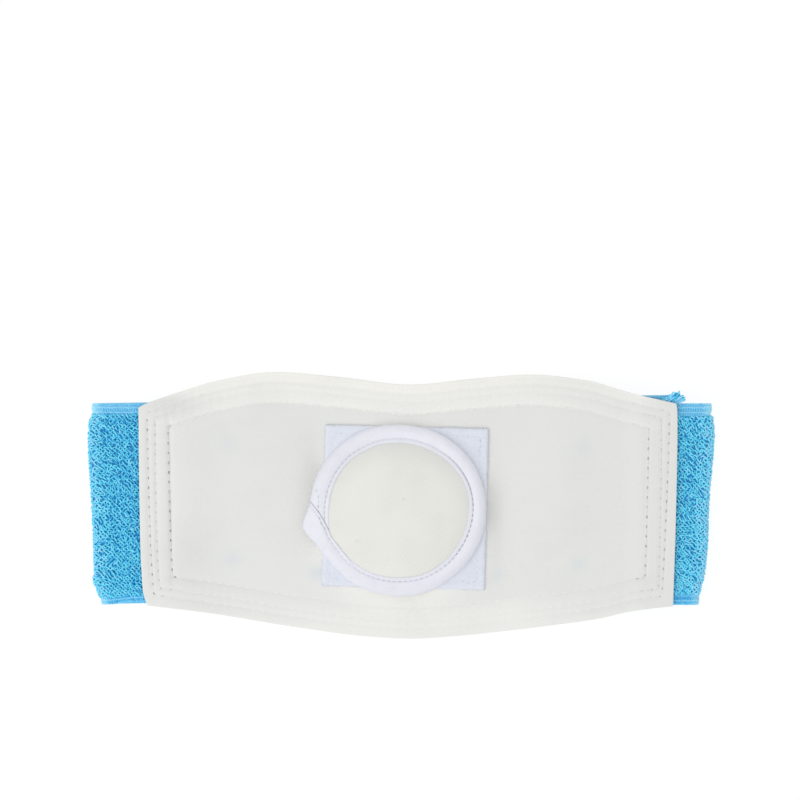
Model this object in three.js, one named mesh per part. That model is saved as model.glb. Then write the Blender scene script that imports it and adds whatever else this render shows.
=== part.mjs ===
// Umbilical support strap for an infant, lying flat with its two pile straps folded back under it.
// A contoured cotton panel carries a square loop patch, and a bound round pad sits on the patch.
// Millimetres, +Z up. The origin is on the table under the middle of the strap, +X runs towards
// the strap's right end and +Y towards its upper edge, as it is seen from above.
import * as THREE from "three";

// Driving dimensions.
const clearance = 0.3; // between cloths that lie on each other
const strap = { width: 80.6, middleY: 0.4, ground: 1.1, pile: 0.9, selvedge: 3.6 };
const leftStrap = { freeEndX: 113.2, sewnEndX: -92, foldX: -125.2, foldRadius: 1.7, tiltDeg: 0.87 };
const rightStrap = { freeEndX: 63, sewnEndX: 97, foldX: 125.2, foldRadius: 2.6, tiltDeg: 0 };
const hookTab = { fromX: 68, toX: 92, height: 58, thickness: 0.9, cornerRadius: 3 };
const panel = { field: 1.8, rim: 2.2, edgeThickness: 0.9, edgeRound: 2.2, overhangZ: 0.5 };
const panelStitches = { lines: [3.6, 6.6, 12], depth: 0.4, width: 0.9 }; // distances in from the edge
const patch = { x: 1.6, y: -0.9, width: 65.2, height: 64.4, thickness: 1.2 };
patch.turnDeg = -1.4;
patch.cornerRadius = 0.8;
const pad = { x: -1, y: -2, radius: 34.9, acrossScale: 1.014, upScale: 0.986 };
const padLayers = { flangeRadius: 33.6, faceRadius: 27.4, crown: 8, hookBack: 0.9, flange: 1.3 };
const binding = { width: 7, lip: 0.8, wall: 0.9, beadBulge: 0.5 };
const bindingTail = { fromDeg: 175.6, cornerDeg: 190.6, toDeg: 205.6, reach: 4.2, fold: 0.5 };

// The panel's outline, as rows along its upper and lower edge and up its two ends.
const panelUpperEdge = [
  { x: -105.2, y: 40 },
  { x: -98, y: 42.8 },
  { x: -88.4, y: 45.6 },
  { x: -72.4, y: 50 },
  { x: -50.4, y: 53.2 },
  { x: -24.4, y: 51.2 },
  { x: 3.6, y: 48.2 },
  { x: 27.6, y: 50.4 },
  { x: 52, y: 52.2 },
  { x: 75.6, y: 49.6 },
  { x: 95.6, y: 44 },
  { x: 110.6, y: 40.4 },
];
const panelLowerEdge = [
  { x: -101.6, y: -40 },
  { x: -80.4, y: -42.4 },
  { x: -40.4, y: -48.8 },
  { x: -12.4, y: -52.4 },
  { x: 3.6, y: -53.2 },
  { x: 23.6, y: -52 },
  { x: 63.6, y: -47.2 },
  { x: 108.8, y: -40.4 },
];
const panelLeftEnd = [
  { y: -40, x: -101.6 },
  { y: -34, x: -103.4 },
  { y: -10, x: -104.6 },
  { y: 40, x: -105.2 },
];
const panelRightEnd = [
  { y: -40.4, x: 108.8 },
  { y: -10, x: 109.8 },
  { y: 40.4, x: 110.6 },
];

// Where each fold of a strap lies across the strap's width: soft cloth, so its corners draw in.
const leftFoldLine = [
  { y: -40, x: -120 },
  { y: -28, x: -122.8 },
  { y: 0, x: -123.8 },
  { y: 24, x: -125.2 },
  { y: 40, x: -123.8 },
];
const rightFoldLine = [
  { y: -40, x: 118.4 },
  { y: -28, x: 121 },
  { y: 0, x: 123.4 },
  { y: 28, x: 125.2 },
  { y: 40, x: 124 },
];

// How high the middle of each strap's wall lies, along its back leg and its front leg.
const leftBackLeg = [
  { x: -122.5, z: 1 },
  { x: 34, z: 1 },
  { x: 67, z: 4.6 },
  { x: 93, z: 4.6 },
  { x: 103, z: 3.4 },
  { x: 113.2, z: 3.4 },
];
const leftFrontLeg = [
  { x: -122.5, z: 4.4 },
  { x: -107, z: 3.4 },
  { x: -92, z: 3.3 },
];
const rightBackLeg = [
  { x: 63, z: 1 },
  { x: 121.6, z: 1 },
];
const rightFrontLeg = [
  { x: 97, z: 6.2 },
  { x: 121.6, z: 6.2 },
];

// How high the panel's underside lies on the straps, and its shallow dents beside the pad.
const panelRest = [
  { x: -106, z: 4.8 },
  { x: -90, z: 4.7 },
  { x: -66, z: 2.4 },
  { x: 34, z: 2.4 },
  { x: 67, z: 6 },
  { x: 88, z: 6.3 },
  { x: 97, z: 7.6 },
  { x: 111, z: 7.6 },
];
const panelDents = [
  { x: -41, y: 16, acrossX: 9, upY: 22, depth: 0.5 },
  { x: 43, y: -2, acrossX: 8, upY: 20, depth: 0.4 },
  { x: -72, y: 8, acrossX: 16, upY: 18, depth: -0.4 },
  { x: 66, y: -14, acrossX: 18, upY: 16, depth: -0.3 },
];

// A smooth value between a table's rows that never overshoots them.
function along(table, at, value) {
  const last = table.length - 1;
  const secant = (k) => (table[k + 1][value] - table[k][value]) / (table[k + 1][at] - table[k][at]);
  const slope = (k) => {
    if (k === 0) return secant(0);
    if (k === last) return secant(last - 1);
    const [before, after] = [secant(k - 1), secant(k)];
    return before * after <= 0 ? 0 : (2 * before * after) / (before + after);
  };
  return (place) => {
    const inside = THREE.MathUtils.clamp(place, table[0][at], table[last][at]);
    const found = table.findIndex((row, k) => k < last && inside <= table[k + 1][at]);
    const [low, high] = [table[found], table[found + 1]];
    const span = high[at] - low[at];
    const t = (inside - low[at]) / span;
    const [rest, spare] = [1 - t, t * (1 - t)];
    const eased = low[value] * rest * rest * (1 + 2 * t) + high[value] * t * t * (3 - 2 * t);
    return eased + span * spare * (slope(found) * rest - slope(found + 1) * t);
  };
}

// A geometry from a list of points and the quads between them.
function geometryOf(points, quads) {
  const geometry = new THREE.BufferGeometry();
  geometry.setAttribute("position", new THREE.Float32BufferAttribute(points.flat(), 3));
  geometry.setIndex(quads.flatMap(([a, b, c, d]) => [a, b, c, a, c, d]));
  geometry.computeVertexNormals();
  return geometry;
}

// A closed slab of cloth between two faces, each a grid of points, with walls round its edge.
function slab(columns, rows, upperPoint, lowerPoint) {
  const points = [];
  for (const pointAt of [upperPoint, lowerPoint])
    for (let i = 0; i <= columns; i++)
      for (let j = 0; j <= rows; j++) points.push(pointAt(i, j));
  const upper = (i, j) => i * (rows + 1) + j;
  const lower = (i, j) => upper(i, j) + (columns + 1) * (rows + 1);
  const quads = [];
  for (let i = 0; i < columns; i++)
    for (let j = 0; j < rows; j++) {
      quads.push([upper(i, j), upper(i + 1, j), upper(i + 1, j + 1), upper(i, j + 1)]);
      quads.push([lower(i, j), lower(i, j + 1), lower(i + 1, j + 1), lower(i + 1, j)]);
    }
  for (let i = 0; i < columns; i++) {
    quads.push([lower(i, 0), lower(i + 1, 0), upper(i + 1, 0), upper(i, 0)]);
    quads.push([upper(i, rows), upper(i + 1, rows), lower(i + 1, rows), lower(i, rows)]);
  }
  for (let j = 0; j < rows; j++) {
    quads.push([upper(0, j), upper(0, j + 1), lower(0, j + 1), lower(0, j)]);
    quads.push([lower(columns, j), lower(columns, j + 1), upper(columns, j + 1), upper(columns, j)]);
  }
  return geometryOf(points, quads);
}

// Stations in from both ends of a span, with even steps between: each is an end and a distance.
function stations(insets, steps) {
  const deepest = insets[insets.length - 1];
  const between = Array.from({ length: steps - 1 }, (_, k) => ({ share: (k + 1) / steps }));
  const near = insets.map((inset) => ({ fromLow: inset }));
  const far = insets.map((inset) => ({ fromHigh: inset })).reverse();
  const place = (station, low, high) => {
    if (station.fromLow !== undefined) return low + station.fromLow;
    if (station.fromHigh !== undefined) return high - station.fromHigh;
    return THREE.MathUtils.lerp(low + deepest, high - deepest, station.share);
  };
  return { list: [...near, ...between, ...far], place };
}

const smooth = THREE.MathUtils.smoothstep;
const upperEdgeAt = along(panelUpperEdge, "x", "y");
const lowerEdgeAt = along(panelLowerEdge, "x", "y");
const leftEndAt = along(panelLeftEnd, "y", "x");
const rightEndAt = along(panelRightEnd, "y", "x");
const panelRestAt = along(panelRest, "x", "z");

// How far a point of the panel lies in from its nearest edge.
function insetOf(x, y) {
  return Math.min(x - leftEndAt(y), rightEndAt(y) - x, y - lowerEdgeAt(x), upperEdgeAt(x) - y);
}

// The panel's underside lies on the straps and droops where it hangs past their edges.
function panelUnderside(x, y) {
  const [upperStrapEdge, lowerStrapEdge, droopWidth, droopShare] = [45, -41.5, 11, 0.8];
  const past = Math.max(y - upperStrapEdge, lowerStrapEdge - y);
  const droop = droopShare * smooth(past, 0, droopWidth);
  return THREE.MathUtils.lerp(panelRestAt(x), panel.overhangZ, droop);
}

// The panel's wall: a turned edge, a padded rim, sunken stitch lines and a thinner field.
function panelThickness(x, y) {
  const inset = insetOf(x, y);
  const [, , innerLine] = panelStitches.lines;
  const rounding = Math.sqrt(smooth(inset, 0, panel.edgeRound));
  const rim = THREE.MathUtils.lerp(panel.edgeThickness, panel.rim, rounding);
  const wall = THREE.MathUtils.lerp(rim, panel.field, smooth(inset, innerLine - 0.4, innerLine + 1.2));
  const sunk = panelStitches.lines.map((line) => Math.exp(-(((inset - line) / panelStitches.width) ** 2)));
  const dents = panelDents.map(
    (dent) => dent.depth * Math.exp(-(((x - dent.x) / dent.acrossX) ** 2) - ((y - dent.y) / dent.upY) ** 2),
  );
  const lowered = panelStitches.depth * Math.max(...sunk) + dents.reduce((sum, dent) => sum + dent, 0);
  return wall - lowered;
}

function panelGeometry() {
  const insets = [0, 0.8, 2.2, 3.6, 5.1, 6.6, 9.3, 12, 13.4];
  const [acrossSteps, upSteps] = [30, 9];
  const across = stations(insets, acrossSteps);
  const up = stations(insets, upSteps);
  const placeOf = (i, j) => {
    const roughX = across.place(across.list[i], panelLeftEnd.at(-1).x, panelRightEnd.at(-1).x);
    const roughY = up.place(up.list[j], lowerEdgeAt(roughX), upperEdgeAt(roughX));
    const x = across.place(across.list[i], leftEndAt(roughY), rightEndAt(roughY));
    const y = up.place(up.list[j], lowerEdgeAt(x), upperEdgeAt(x));
    return { x, y };
  };
  const upperPoint = (i, j) => {
    const { x, y } = placeOf(i, j);
    return [x, y, panelUnderside(x, y) + panelThickness(x, y)];
  };
  const lowerPoint = (i, j) => {
    const { x, y } = placeOf(i, j);
    return [x, y, panelUnderside(x, y)];
  };
  return slab(across.list.length - 1, up.list.length - 1, upperPoint, lowerPoint);
}

// A strap's middle line, seen from its edge: along one leg, round the fold and along the other.
function strapLine(size, firstLeg, secondLeg, steps) {
  const inwards = -Math.sign(size.foldX);
  const wall = strap.ground + strap.pile;
  const turnX = size.foldX + inwards * (size.foldRadius + wall / 2);
  const legPoints = (leg, fromX, toX, count) => {
    const heightAt = along(leg, "x", "z");
    return Array.from({ length: count + 1 }, (_, k) => {
      const x = THREE.MathUtils.lerp(fromX, toX, k / count);
      return { x, z: heightAt(x) };
    });
  };
  const first = legPoints(firstLeg.rows, firstLeg.endX, turnX, firstLeg.steps);
  const second = legPoints(secondLeg.rows, turnX, secondLeg.endX, secondLeg.steps);
  const [startZ, endZ] = [first.at(-1).z, second[0].z];
  const turn = Array.from({ length: steps - 1 }, (_, k) => {
    const angle = (Math.PI * (k + 1)) / steps;
    const x = turnX - inwards * size.foldRadius * Math.sin(angle);
    return { x, z: THREE.MathUtils.lerp(startZ, endZ, (1 - Math.cos(angle)) / 2) };
  });
  return [...first, ...turn, ...second];
}

// A strap: a woven ground with pile on its outer face, bare along both selvedges.
function strapGeometry(size, line, foldLine, backLegIs) {
  const half = strap.width / 2;
  const selvedgeRows = [0, strap.selvedge, strap.selvedge + 0.8];
  const up = stations(selvedgeRows, 7);
  const foldAt = along(foldLine, "y", "x");
  const foldReach = 22; // how far from the fold the cloth is drawn in
  const inwards = -Math.sign(size.foldX);
  const tilt = Math.tan(THREE.MathUtils.degToRad(size.tiltDeg));
  const normals = line.map((_, i) => {
    const [before, after] = [line[Math.max(i - 1, 0)], line[Math.min(i + 1, line.length - 1)]];
    return new THREE.Vector2(before.z - after.z, after.x - before.x).normalize();
  });
  const outmost = line.reduce((best, { x }) => Math.min(best, inwards * x), Infinity);
  const foldStation = line.findIndex(({ x }) => inwards * x === outmost);
  const onBackLeg = (i) => (backLegIs === "first" ? i < foldStation : i > foldStation);
  const pointOn = (offsetAt) => (i, j) => {
    const across = up.place(up.list[j], -half, half);
    const offset = offsetAt(across);
    const { x: middleX, z: middleZ } = line[i];
    const fromFold = Math.abs(middleX - size.foldX);
    const drawn = (foldAt(across) - size.foldX) * (1 - smooth(fromFold, 2, foldReach));
    const shift = onBackLeg(i) ? tilt * fromFold : 0;
    const x = middleX + normals[i].x * offset + drawn;
    return [x, strap.middleY + across + shift, middleZ + normals[i].y * offset];
  };
  const wall = strap.ground + strap.pile;
  const pileAt = (across) => (half - Math.abs(across) > strap.selvedge ? strap.pile : 0);
  const outer = pointOn((across) => strap.ground - wall / 2 + pileAt(across));
  const inner = pointOn(() => -wall / 2);
  return slab(line.length - 1, up.list.length - 1, outer, inner);
}

function leftStrapGeometry() {
  const back = { rows: leftBackLeg, endX: leftStrap.freeEndX, steps: 36 };
  const front = { rows: leftFrontLeg, endX: leftStrap.sewnEndX, steps: 5 };
  const line = strapLine(leftStrap, back, front, 8);
  return strapGeometry(leftStrap, line, leftFoldLine, "first");
}

function rightStrapGeometry() {
  const front = { rows: rightFrontLeg, endX: rightStrap.sewnEndX, steps: 5 };
  const back = { rows: rightBackLeg, endX: rightStrap.freeEndX, steps: 10 };
  const line = strapLine(rightStrap, front, back, 10);
  return strapGeometry(rightStrap, line, rightFoldLine, "second");
}

// A flat plate with round corners, standing on z = 0.
function roundedPlate(width, height, radius, thickness) {
  const [right, top] = [width / 2, height / 2];
  const outline = new THREE.Shape();
  outline.moveTo(-right + radius, -top);
  outline.lineTo(right - radius, -top);
  outline.absarc(right - radius, -top + radius, radius, -Math.PI / 2, 0);
  outline.lineTo(right, top - radius);
  outline.absarc(right - radius, top - radius, radius, 0, Math.PI / 2);
  outline.lineTo(-right + radius, top);
  outline.absarc(-right + radius, top - radius, radius, Math.PI / 2, Math.PI);
  outline.lineTo(-right, -top + radius);
  outline.absarc(-right + radius, -top + radius, radius, Math.PI, 1.5 * Math.PI);
  return new THREE.ExtrudeGeometry(outline, { depth: thickness, bevelEnabled: false, curveSegments: 4 });
}

// A round body from a profile of radius and height rows that starts and ends on its axis.
function turned(profile, segments) {
  const points = profile.map(({ r, z }) => new THREE.Vector2(r, z));
  return new THREE.LatheGeometry(points, segments).rotateX(Math.PI / 2);
}

// The pad's height at each layer, from the underside of its binding.
const padSegments = 48;
const hookFlangeZ = binding.lip + clearance;
const cushionFlangeZ = hookFlangeZ + padLayers.hookBack + clearance;
const upperLipZ = cushionFlangeZ + padLayers.flange + clearance;
const bindingHeight = upperLipZ + binding.lip;

// The pad's hook-faced back: its edge is held in the binding and its middle bears on the patch.
function hookBackGeometry() {
  const bulgeRadius = padLayers.faceRadius - 0.5;
  const [bearingZ, bulgeTopZ] = [0.1, cushionFlangeZ - clearance];
  return turned(
    [
      { r: 0, z: bearingZ },
      { r: bulgeRadius - 1.5, z: bearingZ },
      { r: bulgeRadius, z: hookFlangeZ },
      { r: padLayers.flangeRadius, z: hookFlangeZ },
      { r: padLayers.flangeRadius, z: bulgeTopZ },
      { r: 0, z: bulgeTopZ },
    ],
    padSegments,
  );
}

// The pad's foam and its face cloth: a flange held in the binding and a crowned face.
function cushionGeometry() {
  const { faceRadius, flangeRadius, flange, crown } = padLayers;
  const flangeTop = cushionFlangeZ + flange;
  const crownRows = 9;
  const dome = Array.from({ length: crownRows }, (_, k) => {
    const r = faceRadius * (1 - (k + 1) / crownRows);
    return { r, z: flangeTop + (crown - flangeTop) * Math.sqrt(1 - (r / faceRadius) ** 2) ** 1.3 };
  });
  return turned(
    [
      { r: 0, z: cushionFlangeZ },
      { r: flangeRadius, z: cushionFlangeZ },
      { r: flangeRadius, z: flangeTop },
      { r: faceRadius, z: flangeTop },
      ...dome,
    ],
    padSegments,
  );
}

// The binding: a tape folded round the pad's edge, whose end laps over and leaves a pointed tail.
function bindingGeometry() {
  const { fromDeg, cornerDeg, toDeg, reach, fold } = bindingTail;
  const tailAt = (deg) =>
    Math.max(0, Math.min((deg - fromDeg) / (cornerDeg - fromDeg), (toDeg - deg) / (toDeg - cornerDeg)));
  const outside = pad.radius;
  const inside = pad.radius - binding.width;
  const slotRadius = outside - binding.wall;
  const middleZ = bindingHeight / 2;
  const sectionAt = (deg) => {
    const tail = tailAt(deg);
    const lap = fold * smooth(deg, fromDeg - 1, cornerDeg) * (1 - smooth(deg, toDeg, toDeg + 40));
    const tip = outside + reach * tail;
    const topZ = bindingHeight + lap;
    return [
      { r: inside, z: 0.25 },
      { r: inside + 1, z: 0 },
      { r: outside - 1.4, z: 0 },
      { r: THREE.MathUtils.lerp(outside - 0.3, tip, 0.8), z: 0.8 },
      { r: tip, z: middleZ },
      { r: THREE.MathUtils.lerp(outside - 0.3, tip, 0.8), z: topZ - 0.9 },
      { r: outside - 1.4, z: topZ },
      { r: outside - binding.width * 0.55, z: topZ + binding.beadBulge },
      { r: inside + 1.8, z: topZ - 0.1 },
      { r: inside + 0.7, z: topZ },
      { r: inside, z: topZ - 0.3 },
      { r: inside, z: upperLipZ },
      { r: slotRadius, z: upperLipZ },
      { r: slotRadius, z: binding.lip },
      { r: inside, z: binding.lip },
    ];
  };
  const firstDeg = cornerDeg - 180;
  const points = [];
  const quads = [];
  for (let i = 0; i < padSegments; i++) {
    const deg = firstDeg + (360 * i) / padSegments;
    const angle = THREE.MathUtils.degToRad(deg);
    for (const { r, z } of sectionAt(deg)) points.push([r * Math.cos(angle), r * Math.sin(angle), z]);
  }
  const count = points.length / padSegments;
  const at = (i, j) => (i % padSegments) * count + (j % count);
  for (let i = 0; i < padSegments; i++)
    for (let j = 0; j < count; j++) quads.push([at(i, j), at(i + 1, j), at(i + 1, j + 1), at(i, j + 1)]);
  return geometryOf(points, quads);
}

// Finishes.
const cloth = (color, roughness) => new THREE.MeshStandardMaterial({ color, roughness, metalness: 0 });
const cotton = cloth(0xe9e8e1, 0.9);
const blueTerry = cloth(0x3fb0e0, 0.95);
const hookTape = cloth(0x4aa6d6, 0.7);
const loopCloth = cloth(0xdde2ee, 0.95);
const padTwill = cloth(0xe8e7df, 0.9);
const padHooks = cloth(0xe6e6dc, 0.7);
const whiteTape = cloth(0xe8e9f2, 0.8);

function named(name, geometry, material) {
  const mesh = new THREE.Mesh(geometry, material);
  mesh.name = name;
  return mesh;
}

const supportStrap = new THREE.Group();
supportStrap.add(named("support_panel", panelGeometry(), cotton));
supportStrap.add(named("strap_left", leftStrapGeometry(), blueTerry));
supportStrap.add(named("strap_right", rightStrapGeometry(), blueTerry));

const tabGeometry = roundedPlate(
  hookTab.toX - hookTab.fromX,
  hookTab.height,
  hookTab.cornerRadius,
  hookTab.thickness,
);
const tab = named("hook_tab", tabGeometry, hookTape);
tab.position.set((hookTab.fromX + hookTab.toX) / 2, strap.middleY, strap.ground + strap.pile + clearance);
supportStrap.add(tab);

const patchZ = panelRestAt(patch.x) + panel.field + clearance;
const patchGeometry = roundedPlate(patch.width, patch.height, patch.cornerRadius, patch.thickness);
const loopPatch = named("loop_patch", patchGeometry, loopCloth);
loopPatch.position.set(patch.x, patch.y, patchZ);
loopPatch.rotation.z = THREE.MathUtils.degToRad(patch.turnDeg);
supportStrap.add(loopPatch);

const padStack = new THREE.Group();
padStack.position.set(pad.x, pad.y, patchZ + patch.thickness + clearance);
padStack.scale.set(pad.acrossScale, pad.upScale, 1);
padStack.add(named("pad_hook_back", hookBackGeometry(), padHooks));
padStack.add(named("pad_cushion", cushionGeometry(), padTwill));
padStack.add(named("pad_binding", bindingGeometry(), whiteTape));
supportStrap.add(padStack);

export default supportStrap;
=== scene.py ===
import math

import bpy
import numpy as np
from mathutils import Matrix, Vector, kdtree


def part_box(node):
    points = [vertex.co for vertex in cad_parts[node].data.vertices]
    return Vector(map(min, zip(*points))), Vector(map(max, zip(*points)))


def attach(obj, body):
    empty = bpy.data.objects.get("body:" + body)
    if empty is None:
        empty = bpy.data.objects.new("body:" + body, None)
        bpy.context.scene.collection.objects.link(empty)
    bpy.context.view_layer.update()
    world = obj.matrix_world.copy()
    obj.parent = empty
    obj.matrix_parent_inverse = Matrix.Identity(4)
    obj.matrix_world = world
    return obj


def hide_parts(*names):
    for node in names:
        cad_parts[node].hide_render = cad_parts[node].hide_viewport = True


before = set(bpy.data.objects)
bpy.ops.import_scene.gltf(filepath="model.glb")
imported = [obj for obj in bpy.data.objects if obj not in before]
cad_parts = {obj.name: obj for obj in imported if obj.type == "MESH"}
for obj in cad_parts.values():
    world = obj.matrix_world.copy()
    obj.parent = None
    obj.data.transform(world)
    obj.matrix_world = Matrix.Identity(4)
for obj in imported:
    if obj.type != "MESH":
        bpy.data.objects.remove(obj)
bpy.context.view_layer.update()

scene = bpy.context.scene
mm = 0.001  # the sizes below are in millimetres, the scene is in metres


# camera and light

shot = {"centre": (-0.4, 42), "frameWidth": 320, "lens": 100, "focusHeight": 5}
light = {"worldStrength": 0.78, "keyPower": 4.3, "keySize": 0.9, "keyPlace": (-0.52, -0.32, 0.96)}
floorLook = {"colour": (0.1, 0.1, 0.1, 1), "glow": 0.9, "size": 12, "height": -0.1}


def makeStage():
    cameraData = bpy.data.cameras.new("photoCamera")
    cameraData.lens = shot["lens"]
    cameraData.sensor_width = 36
    cameraData.clip_start = 0.01
    camera = bpy.data.objects.new("photoCamera", cameraData)
    height = shot["frameWidth"] * shot["lens"] / cameraData.sensor_width + shot["focusHeight"]
    camera.location = (shot["centre"][0] * mm, shot["centre"][1] * mm, height * mm)
    scene.collection.objects.link(camera)
    scene.camera = camera

    world = bpy.data.worlds.new("studio")
    world.use_nodes = True
    world.node_tree.nodes["Background"].inputs["Color"].default_value = (1, 1, 1, 1)
    world.node_tree.nodes["Background"].inputs["Strength"].default_value = light["worldStrength"]
    scene.world = world

    keyData = bpy.data.lights.new("softKey", "AREA")
    keyData.energy = light["keyPower"]
    keyData.size = light["keySize"]
    key = bpy.data.objects.new("softKey", keyData)
    key.location = light["keyPlace"]
    key.rotation_euler = (-Vector(light["keyPlace"])).to_track_quat("-Z", "Y").to_euler()
    scene.collection.objects.link(key)

    half, low = floorLook["size"] / 2, floorLook["height"] * mm
    floorMesh = bpy.data.meshes.new("floor")
    corners = [(-half, -half, low), (half, -half, low), (half, half, low), (-half, half, low)]
    floorMesh.from_pydata(corners, [], [(0, 1, 2, 3)])
    floor = bpy.data.objects.new("floor", floorMesh)
    scene.collection.objects.link(floor)
    finish = bpy.data.materials.new("paleFloor")
    finish.use_nodes = True
    shader = finish.node_tree.nodes["Principled BSDF"]
    shader.inputs["Base Color"].default_value = floorLook["colour"]
    shader.inputs["Roughness"].default_value = 0.9
    shader.inputs["Emission Color"].default_value = (1, 1, 1, 1)
    shader.inputs["Emission Strength"].default_value = floorLook["glow"]
    floorMesh.materials.append(finish)
    scene.view_settings.view_transform = "Standard"
    print("stage ready")


# node wiring: a socket with arithmetic, for shader and geometry trees

class Wire:
    def __init__(self, tree, node=None, socket=None):
        self.tree = tree
        self.node = node
        self.socket = socket

    def add(self, kind, settings=None, sockets=None, out=0):
        node = self.tree.nodes.new(kind)
        for key, value in (settings or {}).items():
            if key == "stops":
                ramp = node.color_ramp.elements
                ramp[0].color, ramp[1].color = value[0][1], value[-1][1]
                for place, colour in value[1:-1]:
                    ramp.new(place).color = colour
            else:
                setattr(node, key, value)
        for key, value in (sockets or {}).items():
            self.plug(node.inputs[key], value)
        return Wire(self.tree, node, node.outputs[out] if len(node.outputs) else None)

    def plug(self, target, value):
        if isinstance(value, Wire):
            self.tree.links.new(value.socket, target)
        else:
            target.default_value = value

    def out(self, name):
        return Wire(self.tree, self.node, self.node.outputs[name])

    def maths(self, operation, first, second=0.0):
        return self.add("ShaderNodeMath", {"operation": operation}, {0: first, 1: second})

    def __add__(self, other):
        return self.maths("ADD", self, other)

    def __radd__(self, other):
        return self.maths("ADD", other, self)

    def __sub__(self, other):
        return self.maths("SUBTRACT", self, other)

    def __rsub__(self, other):
        return self.maths("SUBTRACT", other, self)

    def __mul__(self, other):
        return self.maths("MULTIPLY", self, other)

    def wave(self):
        return self.maths("SINE", self) * 0.5 + 0.5

    def between(self, low, high):
        eased = {"interpolation_type": "SMOOTHSTEP"}
        return self.add("ShaderNodeMapRange", eased, {0: self, 1: low, 2: high})

    def mixed(self, first, second):
        return self.add("ShaderNodeMix", {"data_type": "RGBA"}, {0: self, 6: first, 7: second}, out=2)


def srgb(red, green, blue):
    def linear(value):
        value /= 255
        return value / 12.92 if value <= 0.04045 else ((value + 0.055) / 1.055) ** 2.4
    return (linear(red), linear(green), linear(blue), 1)


def newFinish(name, roughness, sheen=0.0, shine=0.2):
    finish = bpy.data.materials.new(name)
    finish.use_nodes = True
    shader = finish.node_tree.nodes["Principled BSDF"]
    shader.inputs["Roughness"].default_value = roughness
    shader.inputs["Specular IOR Level"].default_value = shine
    shader.inputs["Sheen Weight"].default_value = sheen
    shader.inputs["Sheen Roughness"].default_value = 0.5
    return finish, shader, Wire(finish.node_tree)


def attribute(wire, name, out="Fac"):
    return wire.add("ShaderNodeAttribute", {"attribute_name": name}).out(out)


def objectCoords(wire):
    return wire.add("ShaderNodeTexCoord").out("Object")


def axesOf(wire, coords):
    axes = wire.add("ShaderNodeSeparateXYZ", {}, {0: coords})
    return axes.out("X"), axes.out("Y")


def noise(wire, coords, scale, detail=2.0):
    return wire.add("ShaderNodeTexNoise", {}, {"Vector": coords, "Scale": scale, "Detail": detail})


def paint(wire, shader, colour, height=None, strength=0.0, depth=0.1):
    wire.plug(shader.inputs["Base Color"], colour)
    if height is not None:
        sockets = {"Height": height, "Strength": strength, "Distance": depth * mm}
        wire.plug(shader.inputs["Normal"], wire.add("ShaderNodeBump", {}, sockets))


# finishes

# the hem colour is painted light on the panel's lit strips, its turned edge and round the pad; the darker
# colour serves its wear and painted shade
cottonLook = {"plain": srgb(227, 228, 225), "wearAndShade": srgb(213, 214, 212), "hem": srgb(243, 242, 237),
              "spot": srgb(214, 219, 224), "pitch": 0.86, "strength": 0.16}


def cottonFinish():
    finish, shader, wire = newFinish("panelCotton", 0.95)
    coords = objectCoords(wire)
    x, y = axesOf(wire, coords)
    turns = 2 * math.pi / (cottonLook["pitch"] * mm)
    wobble = noise(wire, coords, 300) * 1.6
    weave = (x * turns + wobble).wave() * (y * turns + wobble).wave()
    cloudy, slub = noise(wire, coords, 45, 3.0), noise(wire, coords, 900, 1.0)
    wearAndShade = cloudy.between(0.45, 0.75) * 0.18 + slub.between(0.45, 0.75) * 0.12 + weave * 0.1
    # the hem attribute mixes in painted light, the next mix adds painted shade to the wear
    cloth = attribute(wire, "hem").mixed(cottonLook["plain"], cottonLook["hem"])
    cloth = (wearAndShade + attribute(wire, "soil")).mixed(cloth, cottonLook["wearAndShade"])
    cloth = attribute(wire, "spot").mixed(cloth, cottonLook["spot"])
    paint(wire, shader, cloth, weave + slub, cottonLook["strength"])
    return finish


# the dark ground is painted shade between the loops
terryLook = {"deep": srgb(6, 150, 216), "bright": srgb(122, 231, 255), "pale": srgb(156, 224, 254),
             "ground": srgb(22, 128, 190)}


def terryFinish():
    finish, shader, wire = newFinish("blueTerryLoops", 0.9, 0.03, 0.08)
    fibre = noise(wire, objectCoords(wire), 2600, 1.0)
    # the loops' tops are painted lighter and their roots darker, as painted light and shade
    tone = attribute(wire, "tone") + (fibre - 0.5) * 0.3 + (attribute(wire, "arch") - 0.8) * 0.65
    stops = [(0, terryLook["deep"]), (0.75, terryLook["bright"]), (1, terryLook["pale"])]
    paint(wire, shader, wire.add("ShaderNodeValToRGB", {"stops": stops}, {0: tone}), fibre, 0.2)
    return finish


selvedgeLook = {
    "ribPitch": 0.95, "gap": srgb(46, 150, 210), "pale": srgb(170, 232, 255), "span": 6,
    # colours by distance from the woven edge
    "rows": [(0, srgb(130, 210, 249)), (0.7, srgb(108, 199, 243)), (1.1, srgb(74, 177, 229)),
             (1.75, srgb(142, 215, 250)), (2.2, srgb(90, 191, 239)), (3.3, srgb(90, 191, 239)),
             (3.7, srgb(140, 212, 248)), (4.15, srgb(82, 185, 234)), (4.9, srgb(116, 203, 243)),
             (5.4, terryLook["ground"]), (6, terryLook["ground"])],
}


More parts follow.
